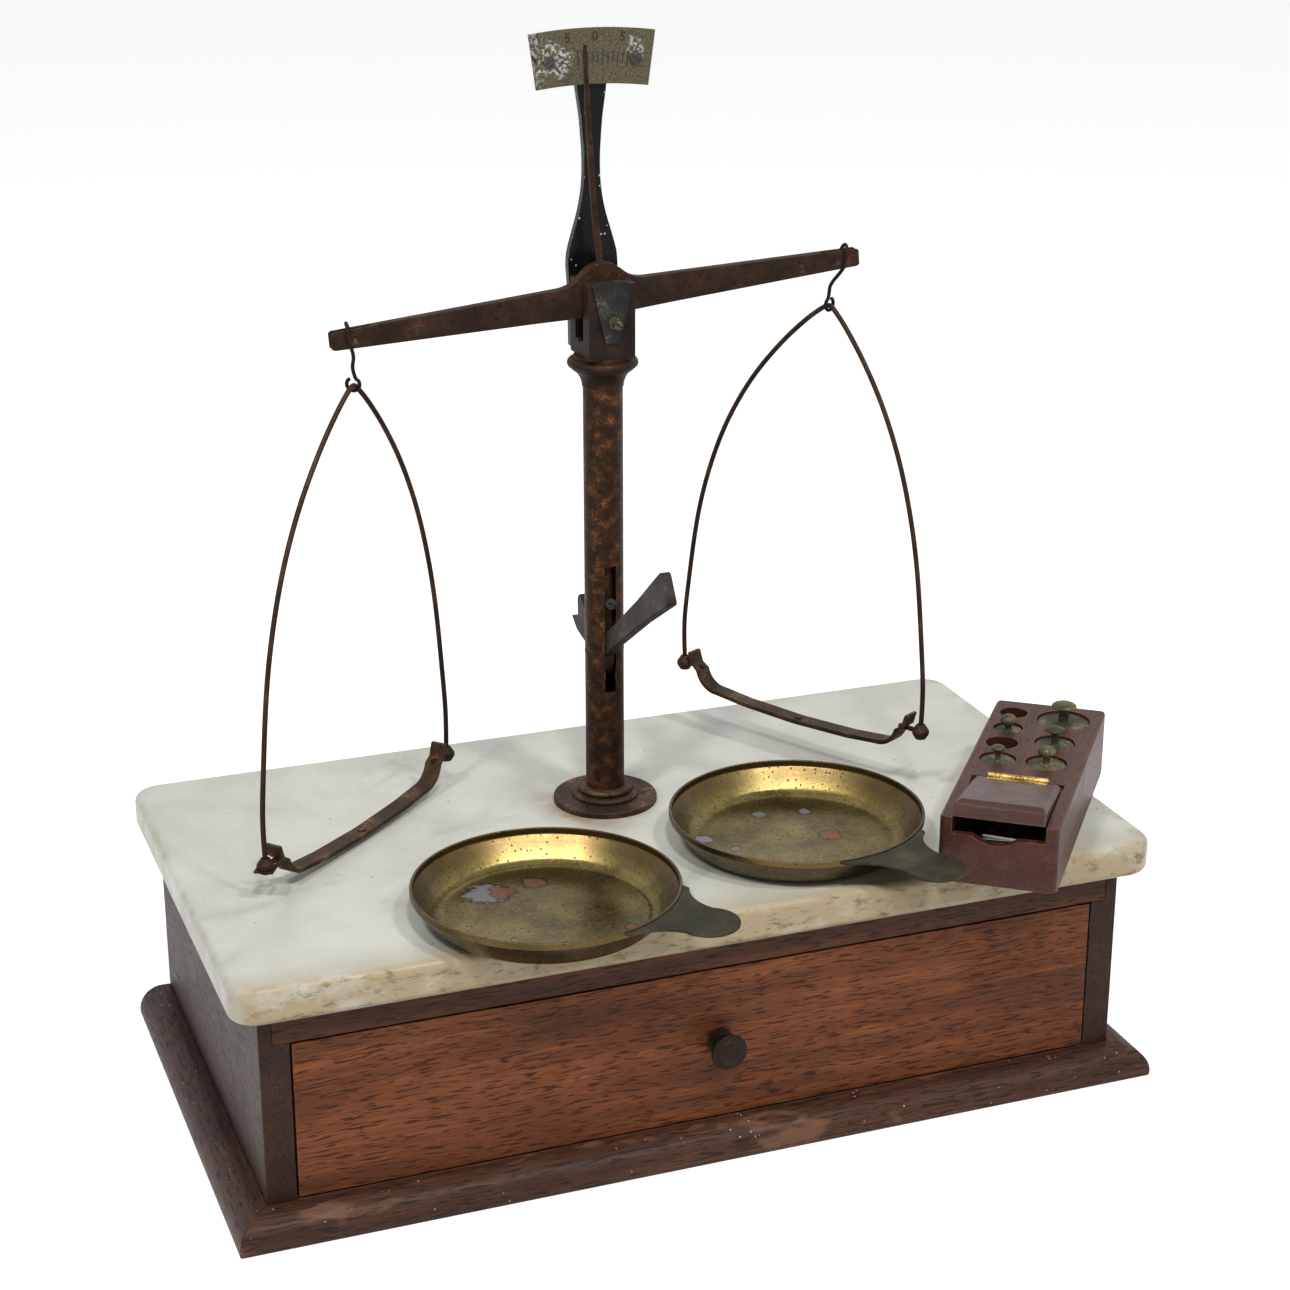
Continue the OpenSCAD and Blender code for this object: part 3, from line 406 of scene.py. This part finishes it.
# %% Boards of the case, the drawer and the weight block
block_turn = -37.7
old_pore = (0.012, 0.007, 0.006)
front_wood = mahogany(
    "drawer_front_wood", "x", (0.27, 0.088, 0.028), (0.175, 0.053, 0.018), (0.085, 0.026, 0.010),
    (0.028, 0.009, 0.005), seed=17, figure=5.0, dirt=0.35,
)
rail_wood = mahogany(
    "rail_wood", "x", (0.13, 0.047, 0.02), (0.08, 0.028, 0.012), (0.045, 0.017, 0.009),
    (0.015, 0.008, 0.006), seed=60, dirt=0.5,
)
side_wood = mahogany(
    "side_wood", "y", (0.06, 0.024, 0.014), (0.035, 0.014, 0.009), (0.02, 0.009, 0.006), old_pore,
    seed=31, dirt=0.6,
)
plinth_wood = mahogany(
    "plinth_wood", "x", (0.11, 0.05, 0.028), (0.06, 0.024, 0.013), (0.032, 0.013, 0.009), old_pore,
    seed=83, dirt=0.6, specks=0.8, patches=0.55,
)
plinth_side_wood = mahogany(
    "plinth_side_wood", "y", (0.10, 0.05, 0.032), (0.055, 0.026, 0.016), (0.03, 0.014, 0.01),
    old_pore, seed=5, dirt=0.8, specks=0.7,
)
back_wood = mahogany(
    "back_wood", "x", (0.11, 0.05, 0.03), (0.07, 0.03, 0.018), (0.04, 0.018, 0.012),
    (0.015, 0.009, 0.007), seed=44, gloss=0.6, dirt=0.5,
)
pale_wood = mahogany(
    "drawer_box_wood", "y", (0.42, 0.27, 0.14), (0.33, 0.2, 0.1), (0.24, 0.14, 0.07),
    (0.12, 0.07, 0.04), seed=12, gloss=0.62, wear=(0.4, 0.26, 0.14), dirt=0.3,
)
block_wood = mahogany(
    "block_wood", "y", (0.10, 0.03, 0.016), (0.062, 0.018, 0.010), (0.036, 0.011, 0.007),
    (0.018, 0.007, 0.005), seed=8, gloss=0.3, figure=1.5, dash=0.6, turn_z=block_turn,
    wear=(0.36, 0.12, 0.045), dirt=0.35, sheen=0.22,
)
lid_wood = mahogany(
    "lid_wood", "x", (0.10, 0.04, 0.026), (0.065, 0.024, 0.017), (0.04, 0.015, 0.011),
    (0.018, 0.008, 0.006), seed=22, gloss=0.22, figure=1.5, dash=0.5, turn_z=block_turn,
    wear=(0.36, 0.2, 0.13), wear_amount=0.9, dirt=0.3, sheen=0.32,
)
print("woods:", [m.name for m in bpy.data.materials if "wood" in m.name])

# %% [markdown]
# ## Marble
#
# The slab is white marble gone slightly green and grey, with soft diagonal smears. Years of spills
# have stained the front edge yellow and brown, and rust has bled out beside the column's foot. The
# stains are masks on the coordinates: how near a spot is to the front edge or to the flange.

# %% Marble recipe
slab_front, slab_side, foot_place = 107.6, 200, (-4, 19)
marble = Finish("marble")
m_at = marble.at()
mx, my, mz = marble.parts(m_at)
m_turned = marble.at(turn_z=24)
clouds = marble.noise(m_at, 48, detail=5, rough=0.6)
smear = marble.noise(marble.stretch(m_turned, (0.3, 1, 1)), 26, detail=4, rough=0.55, bend=0.6)
crystal = marble.noise(m_at, 1.6, detail=3)
m_colour = marble.mix(clouds.rise(0.35, 0.7), (0.62, 0.63, 0.565), (0.52, 0.53, 0.465))
m_colour = marble.mix(smear.rise(0.57, 0.76) * 0.6, m_colour, (0.38, 0.395, 0.34))
m_colour = marble.mix(crystal.rise(0.5, 0.8) * 0.18, m_colour, (0.86, 0.87, 0.82))
forward = my * -1
front = forward.rise(84, 108) * 0.5 + forward.rise(102.5, slab_front) * 0.5
blotch = marble.noise(marble.stretch(m_at, (0.5, 1, 1)), 17, detail=6, rough=0.65)
m_colour = marble.mix((front * blotch.rise(0.22, 0.55)) * 0.85, m_colour, (0.36, 0.26, 0.125))
grit = marble.noise(marble.stretch(m_at, (0.6, 1, 1.4)), 6, detail=6, rough=0.75)
dirt_line = forward.rise(104, slab_front) * grit.rise(0.5, 0.68)
m_colour = marble.mix(dirt_line * 0.8, m_colour, (0.12, 0.075, 0.035))
side_dirt = (mx * -1).rise(slab_side - 4, slab_side) + mx.rise(slab_side - 6, slab_side)
m_colour = marble.mix(side_dirt * blotch.rise(0.4, 0.7) * 0.6, m_colour, (0.33, 0.27, 0.16))
foot_x, foot_y = mx - foot_place[0], my - foot_place[1]
foot_far = (foot_x * foot_x + foot_y * foot_y) ** 0.5
rust = foot_far.fall(23, 38) * (foot_x * -1 + foot_y * -0.5).rise(4, 26) * blotch.rise(0.3, 0.6)
m_colour = marble.mix(rust * 0.75, m_colour, (0.23, 0.12, 0.045))
halo = foot_far.fall(22.4, 28) * 0.35
m_colour = marble.mix(halo, m_colour, (0.34, 0.28, 0.18))
dashes = marble.cells(marble.stretch(m_turned, (0.55, 1, 1)), 6.5)
specks = dashes.fall(0.035, 0.09) * marble.noise(m_at, 30).rise(0.5, 0.6)
m_colour = marble.mix(specks * 0.75, m_colour, (0.10, 0.085, 0.055))
marble.set(base_color=m_colour, roughness=0.3 + clouds * 0.14 + dirt_line * 0.3)
marble.surface.inputs["Specular IOR Level"].default_value = 0.35
marble.set(normal=marble.bump(crystal * 0.3 + clouds * 0.8 - specks * 0.6 - dirt_line, 0.16, 0.55))
print("marble nodes:", len(marble.tree.nodes))

# %% [markdown]
# ## Patinated brass
#
# The column, beam and wires are brass that has gone dark brown, with copper-coloured metal showing
# where hands and cloths have rubbed. Two noises decide where the bare metal shows: a broad one for
# the rubbed places and a fine one that breaks them up into grains. Bare metal is fully metallic;
# the brown skin over it is only partly so.


# %% Patina recipe
def patina(
    name, dark, brown, bare, bare_share=0.5, grain=1.0, rough=0.4, size=14.0, relief=0.08,
    edge_wear=0.6, seed=0.0,
):
    f = Finish(name)
    spot = f.at(origin=(seed, -seed, seed * 0.5))
    broad = f.noise(spot, size, detail=5, rough=0.6)
    fine = f.noise(spot, grain, detail=4, rough=0.65)
    pits = f.noise(spot, grain * 2.2, detail=2, rough=0.5)
    rubbed = (broad * 0.55 + fine * 0.45).rise(0.62 - bare_share * 0.22, 0.74 - bare_share * 0.16)
    worn = (rubbed + f.edges(0.6) * fine.rise(0.35, 0.6) * edge_wear).least(1)
    colour = f.mix(broad.rise(0.35, 0.65), dark, brown)
    colour = f.mix(worn, colour, bare)
    colour = f.mix(pits.rise(0.6, 0.72) * 0.7, colour, tuple(c * 0.4 for c in dark))
    f.set(base_color=colour, metallic=0.55 + worn * 0.4)
    f.surface.inputs["Specular IOR Level"].default_value = 0.16
    f.set(roughness=(rough + (1 - worn) * 0.16 + fine * 0.12).least(0.9))
    f.set(normal=f.bump(fine * 0.6 + pits * 0.6, relief, 0.8))
    return f


# %% Brass and bronze pieces
column_bronze = patina(
    "column_bronze", (0.020, 0.011, 0.007), (0.05, 0.022, 0.010), (0.21, 0.082, 0.028),
    bare_share=0.42, grain=0.55, rough=0.3, size=5.0,
)
foot_bronze = patina(
    "foot_bronze", (0.03, 0.02, 0.014), (0.075, 0.046, 0.029), (0.24, 0.12, 0.06), bare_share=0.45,
    grain=1.1, rough=0.4, relief=0.16, seed=9,
)
head_bronze = patina(
    "head_bronze", (0.014, 0.010, 0.008), (0.032, 0.019, 0.013), (0.12, 0.06, 0.03),
    bare_share=0.25, grain=0.8, rough=0.42, seed=21,
)
capital_bronze = patina(
    "capital_bronze", (0.018, 0.011, 0.007), (0.034, 0.019, 0.011), (0.11, 0.055, 0.025),
    bare_share=0.25, grain=0.9, rough=0.36, seed=33,
)
beam_bronze = patina(
    "beam_bronze", (0.020, 0.012, 0.009), (0.045, 0.022, 0.014), (0.13, 0.055, 0.027),
    bare_share=0.35, grain=1.3, rough=0.42, relief=0.14, seed=47,
)
wire_bronze = patina(
    "wire_bronze", (0.025, 0.015, 0.010), (0.05, 0.026, 0.015), (0.17, 0.075, 0.035),
    bare_share=0.3, grain=0.7, rough=0.34, relief=0.03, seed=53,
)
strap_bronze = patina(
    "strap_bronze", (0.028, 0.018, 0.012), (0.065, 0.036, 0.02), (0.22, 0.12, 0.05), bare_share=0.4,
    grain=1.0, rough=0.36, seed=61,
)
lever_bronze = patina(
    "lever_bronze", (0.02, 0.016, 0.013), (0.042, 0.034, 0.027), (0.12, 0.075, 0.045),
    bare_share=0.35, grain=1.4, rough=0.36, seed=77,
)
knob_bronze = patina(
    "knob_bronze", (0.018, 0.012, 0.009), (0.035, 0.022, 0.015), (0.10, 0.06, 0.035),
    bare_share=0.25, grain=0.9, rough=0.4, seed=81,
)
hook_wire = patina(
    "hook_wire", (0.010, 0.008, 0.008), (0.02, 0.014, 0.012), (0.10, 0.07, 0.05), bare_share=0.2,
    grain=0.6, rough=0.34, relief=0.02, seed=91,
)
steel = patina(
    "dark_steel", (0.045, 0.045, 0.044), (0.085, 0.083, 0.078), (0.26, 0.25, 0.23), bare_share=0.4,
    grain=0.8, rough=0.36, seed=15,
)
shield_steel = patina(
    "shield_steel", (0.016, 0.016, 0.016), (0.034, 0.033, 0.030), (0.10, 0.09, 0.075),
    bare_share=0.4, grain=1.2, rough=0.34, relief=0.05, seed=18,
)
bright_brass = patina(
    "bright_brass", (0.16, 0.095, 0.03), (0.36, 0.22, 0.07), (0.78, 0.55, 0.2), bare_share=0.75,
    grain=0.9, rough=0.24, seed=25,
)
weight_brass = patina(
    "weight_brass", (0.045, 0.045, 0.028), (0.12, 0.11, 0.06), (0.36, 0.28, 0.12), bare_share=0.5,
    grain=1.0, rough=0.34, relief=0.16, seed=35,
)
tab_brass = patina(
    "tab_brass", (0.026, 0.025, 0.016), (0.055, 0.048, 0.026), (0.12, 0.10, 0.045), bare_share=0.3,
    grain=1.6, rough=0.36, relief=0.05, seed=45,
)
print("metals:", [m.name for m in bpy.data.materials if "bronze" in m.name or "brass" in m.name])

# %% Black lacquer of the arm, with chips
lacquer = Finish("black_lacquer")
l_at = lacquer.at()
l_chips = lacquer.cells(l_at, 3.4).fall(0.10, 0.15) * lacquer.noise(l_at, 9).rise(0.45, 0.55)
l_edge = lacquer.edges(0.5) * lacquer.noise(l_at, 2.2, detail=3).rise(0.55, 0.62)
l_colour = lacquer.mix((l_chips + l_edge * 0.7).least(1), (0.006, 0.006, 0.007), (0.42, 0.42, 0.40))
lacquer.set(base_color=l_colour, roughness=0.26 + l_chips * 0.4)
lacquer.surface.inputs["Specular IOR Level"].default_value = 0.12
lacquer.set(normal=lacquer.bump(lacquer.noise(l_at, 5, detail=3) - l_chips * 0.8, 0.06, 0.7))

# %% [markdown]
# ## The pans
#
# The pans are spun brass, gone olive, with a skin of black pits and a few pale and red spots where
# something was spilt. Spinning leaves fine rings round the middle, and rings draw each lamp out into
# a streak. So the recipe has two parts for them: noise that depends only on the distance from the
# pan's middle, and a constant anisotropy, which stretches every highlight across the rings. The
# walls
# are also given painted shade: a darker brown than the floor.


# %% Pan recipe
def pan_finish(name, centre, spots, seed):
    f = Finish(name)
    spot = f.at(origin=centre)
    x, y, z = f.parts(spot)
    far = (x * x + y * y) ** 0.5
    rings = f.noise(f.join(far, z * 0.6, 0.0), 0.35, detail=2)
    # low is 1 on the pan's floor and 0 up the walls; the walls get painted shade below
    low = z.fall(4, 9)
    broad = f.noise(f.at(origin=(seed, seed, 0)), 22, detail=5, rough=0.6)
    fine = f.noise(f.at(origin=(0, seed, seed)), 1.7, detail=4, rough=0.7)
    dots = f.cells(f.at(origin=(seed, 0, seed)), 2.6)
    pits = (dots.fall(0.12, 0.24) * broad.rise(0.38, 0.6)).least(1)
    colour = f.mix(broad.rise(0.32, 0.66), (0.075, 0.055, 0.020), (0.19, 0.145, 0.048))
    colour = f.mix(fine.rise(0.45, 0.7) * 0.5 * low, colour, (0.26, 0.20, 0.065))
    # Painted shade: the walls are painted a darker brown than the floor, standing in for their dim
    # reflections
    colour = f.mix((1 - low) * 0.6, colour, (0.05, 0.036, 0.014))
    # Partly tarnish at the rim, partly painted shade on the walls: darker brown from 44 mm out,
    # broken up by noise
    colour = f.mix(far.rise(44, 55) * broad.rise(0.4, 0.6) * 0.7, colour, (0.10, 0.06, 0.024))
    colour = f.mix(pits, colour, (0.012, 0.010, 0.008))
    metal, dull = 0.92 - pits * 0.5, 0.0
    for sx, sy, size, tone in spots:
        wob = f.noise(f.at(origin=(seed, sx, sy)), 5, detail=4)
        dx, dy = x - sx, y - sy
        d = (dx * dx + dy * dy) ** 0.5 + (wob - 0.5) * size * 1.6
        mark = d.fall(size * 0.75, size)
        rim = d.fall(size, size + 1.1) - mark
        colour = f.mix(rim.most(0) * 0.8, colour, (0.03, 0.015, 0.012))
        colour = f.mix(mark * 0.85, colour, tone)
        dull = dull + mark
    f.set(base_color=colour, metallic=(metal - dull * 0.6).most(0))
    f.set(roughness=(0.2 + fine * 0.14 + pits * 0.3 + dull * 0.25).least(0.9))
    f.surface.inputs["Anisotropic"].default_value = 0.8
    f.set(normal=f.bump(rings * 0.5 + fine * 0.25 - pits * 0.7, 0.04, 0.8))
    return f


grey_spot, red_spot = (0.17, 0.165, 0.20), (0.15, 0.048, 0.022)
left_pan_brass = pan_finish("left_pan_brass", (-66, -84, 111), [
    (-18, 25, 10, grey_spot), (-11, 24, 6, red_spot), (4, 28, 5, red_spot),
    (-33, -18, 5, grey_spot), (28, -24, 2.6, red_spot),
], 3)
right_pan_brass = pan_finish("right_pan_brass", (58, -52, 111), [
    (-6, 28, 3.2, grey_spot), (14, 24, 3, grey_spot), (-38, 12, 4, grey_spot),
    (15, -3, 5, red_spot), (-29, -2, 2.2, grey_spot),
], 11)
print("pan nodes:", len(left_pan_brass.tree.nodes), len(right_pan_brass.tree.nodes))

# %% Scale plate: pitted brass with pale corrosion
plate = Finish("plate_brass")
p_at = plate.at()
px, py, pz = plate.parts(p_at)
p_fine = plate.noise(p_at, 0.9, detail=4, rough=0.7)
p_broad = plate.noise(p_at, 7, detail=4, rough=0.6)
p_colour = plate.mix(p_fine.rise(0.36, 0.6), (0.055, 0.048, 0.032), (0.125, 0.108, 0.066))


def near_screw(x, z, ragged, low, high):
    """1 round a screw of the plate, with a ragged edge"""
    across, upward = px - x, pz - z
    return ((across * across + upward * upward) ** 0.5 + (p_broad - 0.5) * ragged).fall(low, high)


left_end = (px * -1).rise(22, 29)
around = near_screw(-20, 436, 14, 5.5, 8) + near_screw(15, 439.5, 12, 3, 5) * 0.8 + left_end * 0.6
crust = around.least(1) * plate.noise(p_at, 1.7, detail=4).rise(0.47, 0.6)
p_colour = plate.mix(crust, p_colour, (0.42, 0.44, 0.45))
black = left_end * plate.noise(p_at, 2.4, detail=4).rise(0.52, 0.6)
p_colour = plate.mix(black * 0.9, p_colour, (0.008, 0.008, 0.008))
plate.set(
    base_color=p_colour, metallic=(0.85 - crust * 0.85).most(0), roughness=0.42 + p_fine * 0.25,
)
plate.set(normal=plate.bump(p_fine + crust * 0.8, 0.09, 0.9))

# %% Ink of the marks, and thin bright sheet
ink = Finish("mark_ink")
ink_noise = ink.noise(ink.at(), 0.8, detail=3)
ink.set(
    base_color=ink.mix(ink_noise, (0.006, 0.006, 0.006), (0.02, 0.018, 0.014)),
    roughness=0.6 + ink_noise * 0.2,
)
sheet_metal = Finish("sheet_metal")
s_noise = sheet_metal.noise(sheet_metal.stretch(sheet_metal.at(), (0.2, 1, 1)), 1.2, detail=3)
sheet_metal.set(
    base_color=sheet_metal.mix(s_noise, (0.55, 0.56, 0.57), (0.8, 0.81, 0.82)), metallic=1.0,
    roughness=0.2 + s_noise * 0.2,
)
sheet_metal.set(normal=sheet_metal.bump(s_noise, 0.03, 0.6))
print("materials in all:", len(bpy.data.materials))

# %% [markdown]
# ## From CAD solid to finished piece
#
# A CAD solid has knife-sharp edges, and nothing old does. Each rigid piece is therefore a copy of
# its CAD solid: the copy's loose triangles are merged, flat areas are joined again, and then every
# sharp edge is bevelled by a width that suits the piece. The copy replaces the CAD node and rides
# on the same body, so it moves with every joint.


# %% Copy, bevel and dress
made = []


def merged_copy(node):
    bm = bmesh.new()
    bm.from_mesh(frame["nodes"][node].data)
    bmesh.ops.remove_doubles(bm, verts=bm.verts, dist=2e-6)
    bmesh.ops.dissolve_limit(bm, angle_limit=math.radians(0.6), verts=bm.verts, edges=bm.edges)
    return bm


sharp_angle = 28


def soften(bm, width):
    limit = math.radians(sharp_angle)
    sharp = [e for e in bm.edges if len(e.link_faces) == 2 and e.calc_face_angle(0) > limit]
    if sharp:
        bmesh.ops.bevel(
            bm, geom=sharp, offset=width * MM, offset_type="OFFSET", segments=2,
            profile=0.5, material=-1, affect="EDGES", clamp_overlap=True,
        )
    return bm


def piece(name, bm, body, finish, nodes=(), smooth=40):
    mesh = bpy.data.meshes.new(name)
    bm.to_mesh(mesh)
    bm.free()
    mesh.materials.append(finish.material)
    mesh.shade_smooth()
    mesh.set_sharp_from_angle(angle=math.radians(smooth))
    o = bpy.data.objects.new(name, mesh)
    bpy.context.scene.collection.objects.link(o)
    even = o.modifiers.new("even", "WEIGHTED_NORMAL")
    even.keep_sharp = True
    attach(o, body)
    if nodes:
        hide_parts(*nodes)
    made.append(o)
    return o


body_of = {n: b for b, members in frame["record"]["behaviour"]["bodies"].items() for n in members}


def dress(node, finish, width):
    bm = soften(merged_copy(node), width)
    return piece(node + "_finished", bm, body_of[node], finish, [node])


# %% [markdown]
# ## The case
#
# Boards of the case get edges rounded by about half a millimetre, the base moulding among them. Its
# wood carries scuffed patches and dust specks where brooms and boxes have knocked it.

# %% Case boards
for name, finish, width in [
    ("bottom_board", back_wood, 0.3), ("left_side", side_wood, 0.5), ("right_side", side_wood, 0.5),
    ("case_back", back_wood, 0.4), ("top_board", back_wood, 0.2), ("top_rail", rail_wood, 0.6),
    ("plinth_front", plinth_wood, 0.5), ("plinth_left", plinth_side_wood, 0.5),
    ("plinth_right", plinth_side_wood, 0.5), ("drawer_front", front_wood, 0.9),
    ("drawer_sides", pale_wood, 0.3), ("drawer_back", pale_wood, 0.3),
    ("drawer_bottom", pale_wood, 0.2),
    ("marble_slab", marble, 0.3),
]:
    dress(name, finish, width)

# %% Metal of the column and the head
for name, finish, width in [
    ("drawer_knob", knob_bronze, 0.25), ("column_flange", foot_bronze, 0.2),
    ("flange_screws", foot_bronze, 0.12),
    ("column_tube", column_bronze, 0.15), ("column_capital", capital_bronze, 0.2),
    ("lever_pin", steel, 0.15),
    ("arrest_lever", lever_bronze, 0.4), ("lift_rod", column_bronze, 0.2),
    ("bearing_fork", steel, 0.12),
    ("guide_screw", steel, 0.15), ("head_block", head_bronze, 0.35),
    ("shield_plate", shield_steel, 0.2),
    ("shield_screw", weight_brass, 0.15), ("index_arm", lacquer, 0.4), ("arm_screws", steel, 0.15),
    ("scale_plate", plate, 0.2), ("scale_screws", steel, 0.15),
]:
    dress(name, finish, width)

# %% Beam, stirrups, pans and weights
for name, finish, width in [
    ("beam", beam_bronze, 0.45), ("centre_knife", steel, 0.05), ("end_knives", steel, 0.05),
    ("pointer", beam_bronze, 0.2),
    ("left_strap", strap_bronze, 0.45), ("right_strap", strap_bronze, 0.45),
    ("left_bow_feet", wire_bronze, 0.35), ("right_bow_feet", wire_bronze, 0.35),
    ("left_rivet", strap_bronze, 0.15), ("right_rivet", strap_bronze, 0.15),
    ("left_pan", left_pan_brass, 0.3), ("right_pan", right_pan_brass, 0.3),
    ("left_pan_tab", tab_brass, 0.3), ("right_pan_tab", tab_brass, 0.3),
    ("weight_block", block_wood, 0.4), ("block_lid", lid_wood, 0.6),
    ("hinge_block_leaf", bright_brass, 0.12), ("hinge_lid_leaf", bright_brass, 0.12),
    ("hinge_pin", bright_brass, 0.1),
    ("weight_50", weight_brass, 0.25), ("weight_20_back", weight_brass, 0.2),
    ("weight_20_front", weight_brass, 0.2),
    ("weight_5", weight_brass, 0.15), ("weight_10", weight_brass, 0.15),
    ("leaf_weights", sheet_metal, 0.08),
]:
    dress(name, finish, width)


# %% [markdown]
# ## Marks on the plate and the beam
#
# The plate carries plain figures, 5 0 5, over a row of ticks, and the beam's arms are stamped 1 and
# 2. Letters start as text curves. Each is made a mesh first and is then put in its place, so that
# the finished object stays at the origin. The ticks are thin boxes laid out like a fan about the
# beam's edge, as the pointer sweeps.


# %% Figures and ticks
edge_x, edge_z = -4.0, 338.7


def figure(name, text, size, place, lean, body):
    curve = bpy.data.curves.new(name, "FONT")
    curve.body, curve.size, curve.extrude, curve.offset = text, size * MM, 0.1 * MM, 0.14 * MM
    curve.align_x, curve.align_y = "CENTER", "CENTER"
    letter = bpy.data.objects.new(name + "_curve", curve)
    bpy.context.scene.collection.objects.link(letter)
    bpy.context.view_layer.update()
    bm = bmesh.new()
    solid = letter.evaluated_get(bpy.context.evaluated_depsgraph_get())
    bm.from_mesh(bpy.data.meshes.new_from_object(solid))
    bpy.data.objects.remove(letter)
    upright = Matrix.Rotation(math.radians(90), 4, "X")
    leaning = Matrix.Rotation(math.radians(lean), 4, "Y")
    placed = Matrix.Translation([c * MM for c in place]) @ leaning @ upright
    bmesh.ops.transform(bm, matrix=placed, verts=bm.verts)
    return piece(name, bm, body, ink)


plate_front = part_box("scale_plate")[0][1] / MM
figure_reach = 105.8
for number, text in enumerate("505"):
    lean = (number - 1) * 6.4 + 0.6
    aside = figure_reach * math.sin(math.radians(lean))
    above = figure_reach * math.cos(math.radians(lean))
    spot = (edge_x + aside, plate_front, edge_z + above)
    figure(f"plate_figure_{number}", text, 5.2, spot, lean, "case")

tick_step, tick_width = 1.27, 0.6
ticks = bmesh.new()
for number in range(-5, 6):
    low, high = (94.2, 100.6) if number % 5 == 0 else (95.2, 99.6)
    one = bmesh.ops.create_cube(ticks, size=1)["verts"]
    bmesh.ops.scale(ticks, verts=one, vec=(tick_width * MM, 0.2 * MM, (high - low) * MM))
    bmesh.ops.translate(ticks, verts=one, vec=(0, 0, (low + high) / 2 * MM))
    fan = Matrix.Rotation(math.radians(number * tick_step + 2.6), 3, "Y")
    bmesh.ops.rotate(ticks, verts=one, cent=(0, 0, 0), matrix=fan)
    bmesh.ops.translate(ticks, verts=one, vec=(edge_x * MM, plate_front * MM, edge_z * MM))
piece("plate_ticks", ticks, "case", ink)

beam_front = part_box("beam")[0][1] / MM
slope = math.radians(4.5)
for text, out in (("1", -81), ("2", 90)):
    spot = (edge_x + out * math.cos(slope), beam_front, edge_z + out * math.sin(slope) - 1.2)
    figure(f"beam_figure_{text}", text, 4.6, spot, -4.5, "beam")
print("marks on the plate stand at y =", round(plate_front, 2), "mm")


# %% [markdown]
# ## Wires
#
# The bows and hooks are round wire. Their CAD solids are many-sided, so instead of a bevel the copy
# gets its triangles joined into quads and one level of subdivision, which rounds it.


# %% Wires
def dress_wire(node, finish):
    bm = bmesh.new()
    bm.from_mesh(frame["nodes"][node].data)
    bmesh.ops.remove_doubles(bm, verts=bm.verts, dist=2e-6)
    bmesh.ops.join_triangles(
        bm, faces=bm.faces, angle_face_threshold=1.2, angle_shape_threshold=1.2,
    )
    o = piece(node + "_finished", bm, body_of[node], finish, [node], smooth=60)
    o.modifiers.clear()
    round_off = o.modifiers.new("round", "SUBSURF")
    round_off.levels = round_off.render_levels = 1
    return o


for name, finish in [
    ("left_bow", wire_bronze), ("right_bow", wire_bronze),
    ("left_hook", hook_wire), ("right_hook", hook_wire),
]:
    dress_wire(name, finish)
print("pieces:", len(made))
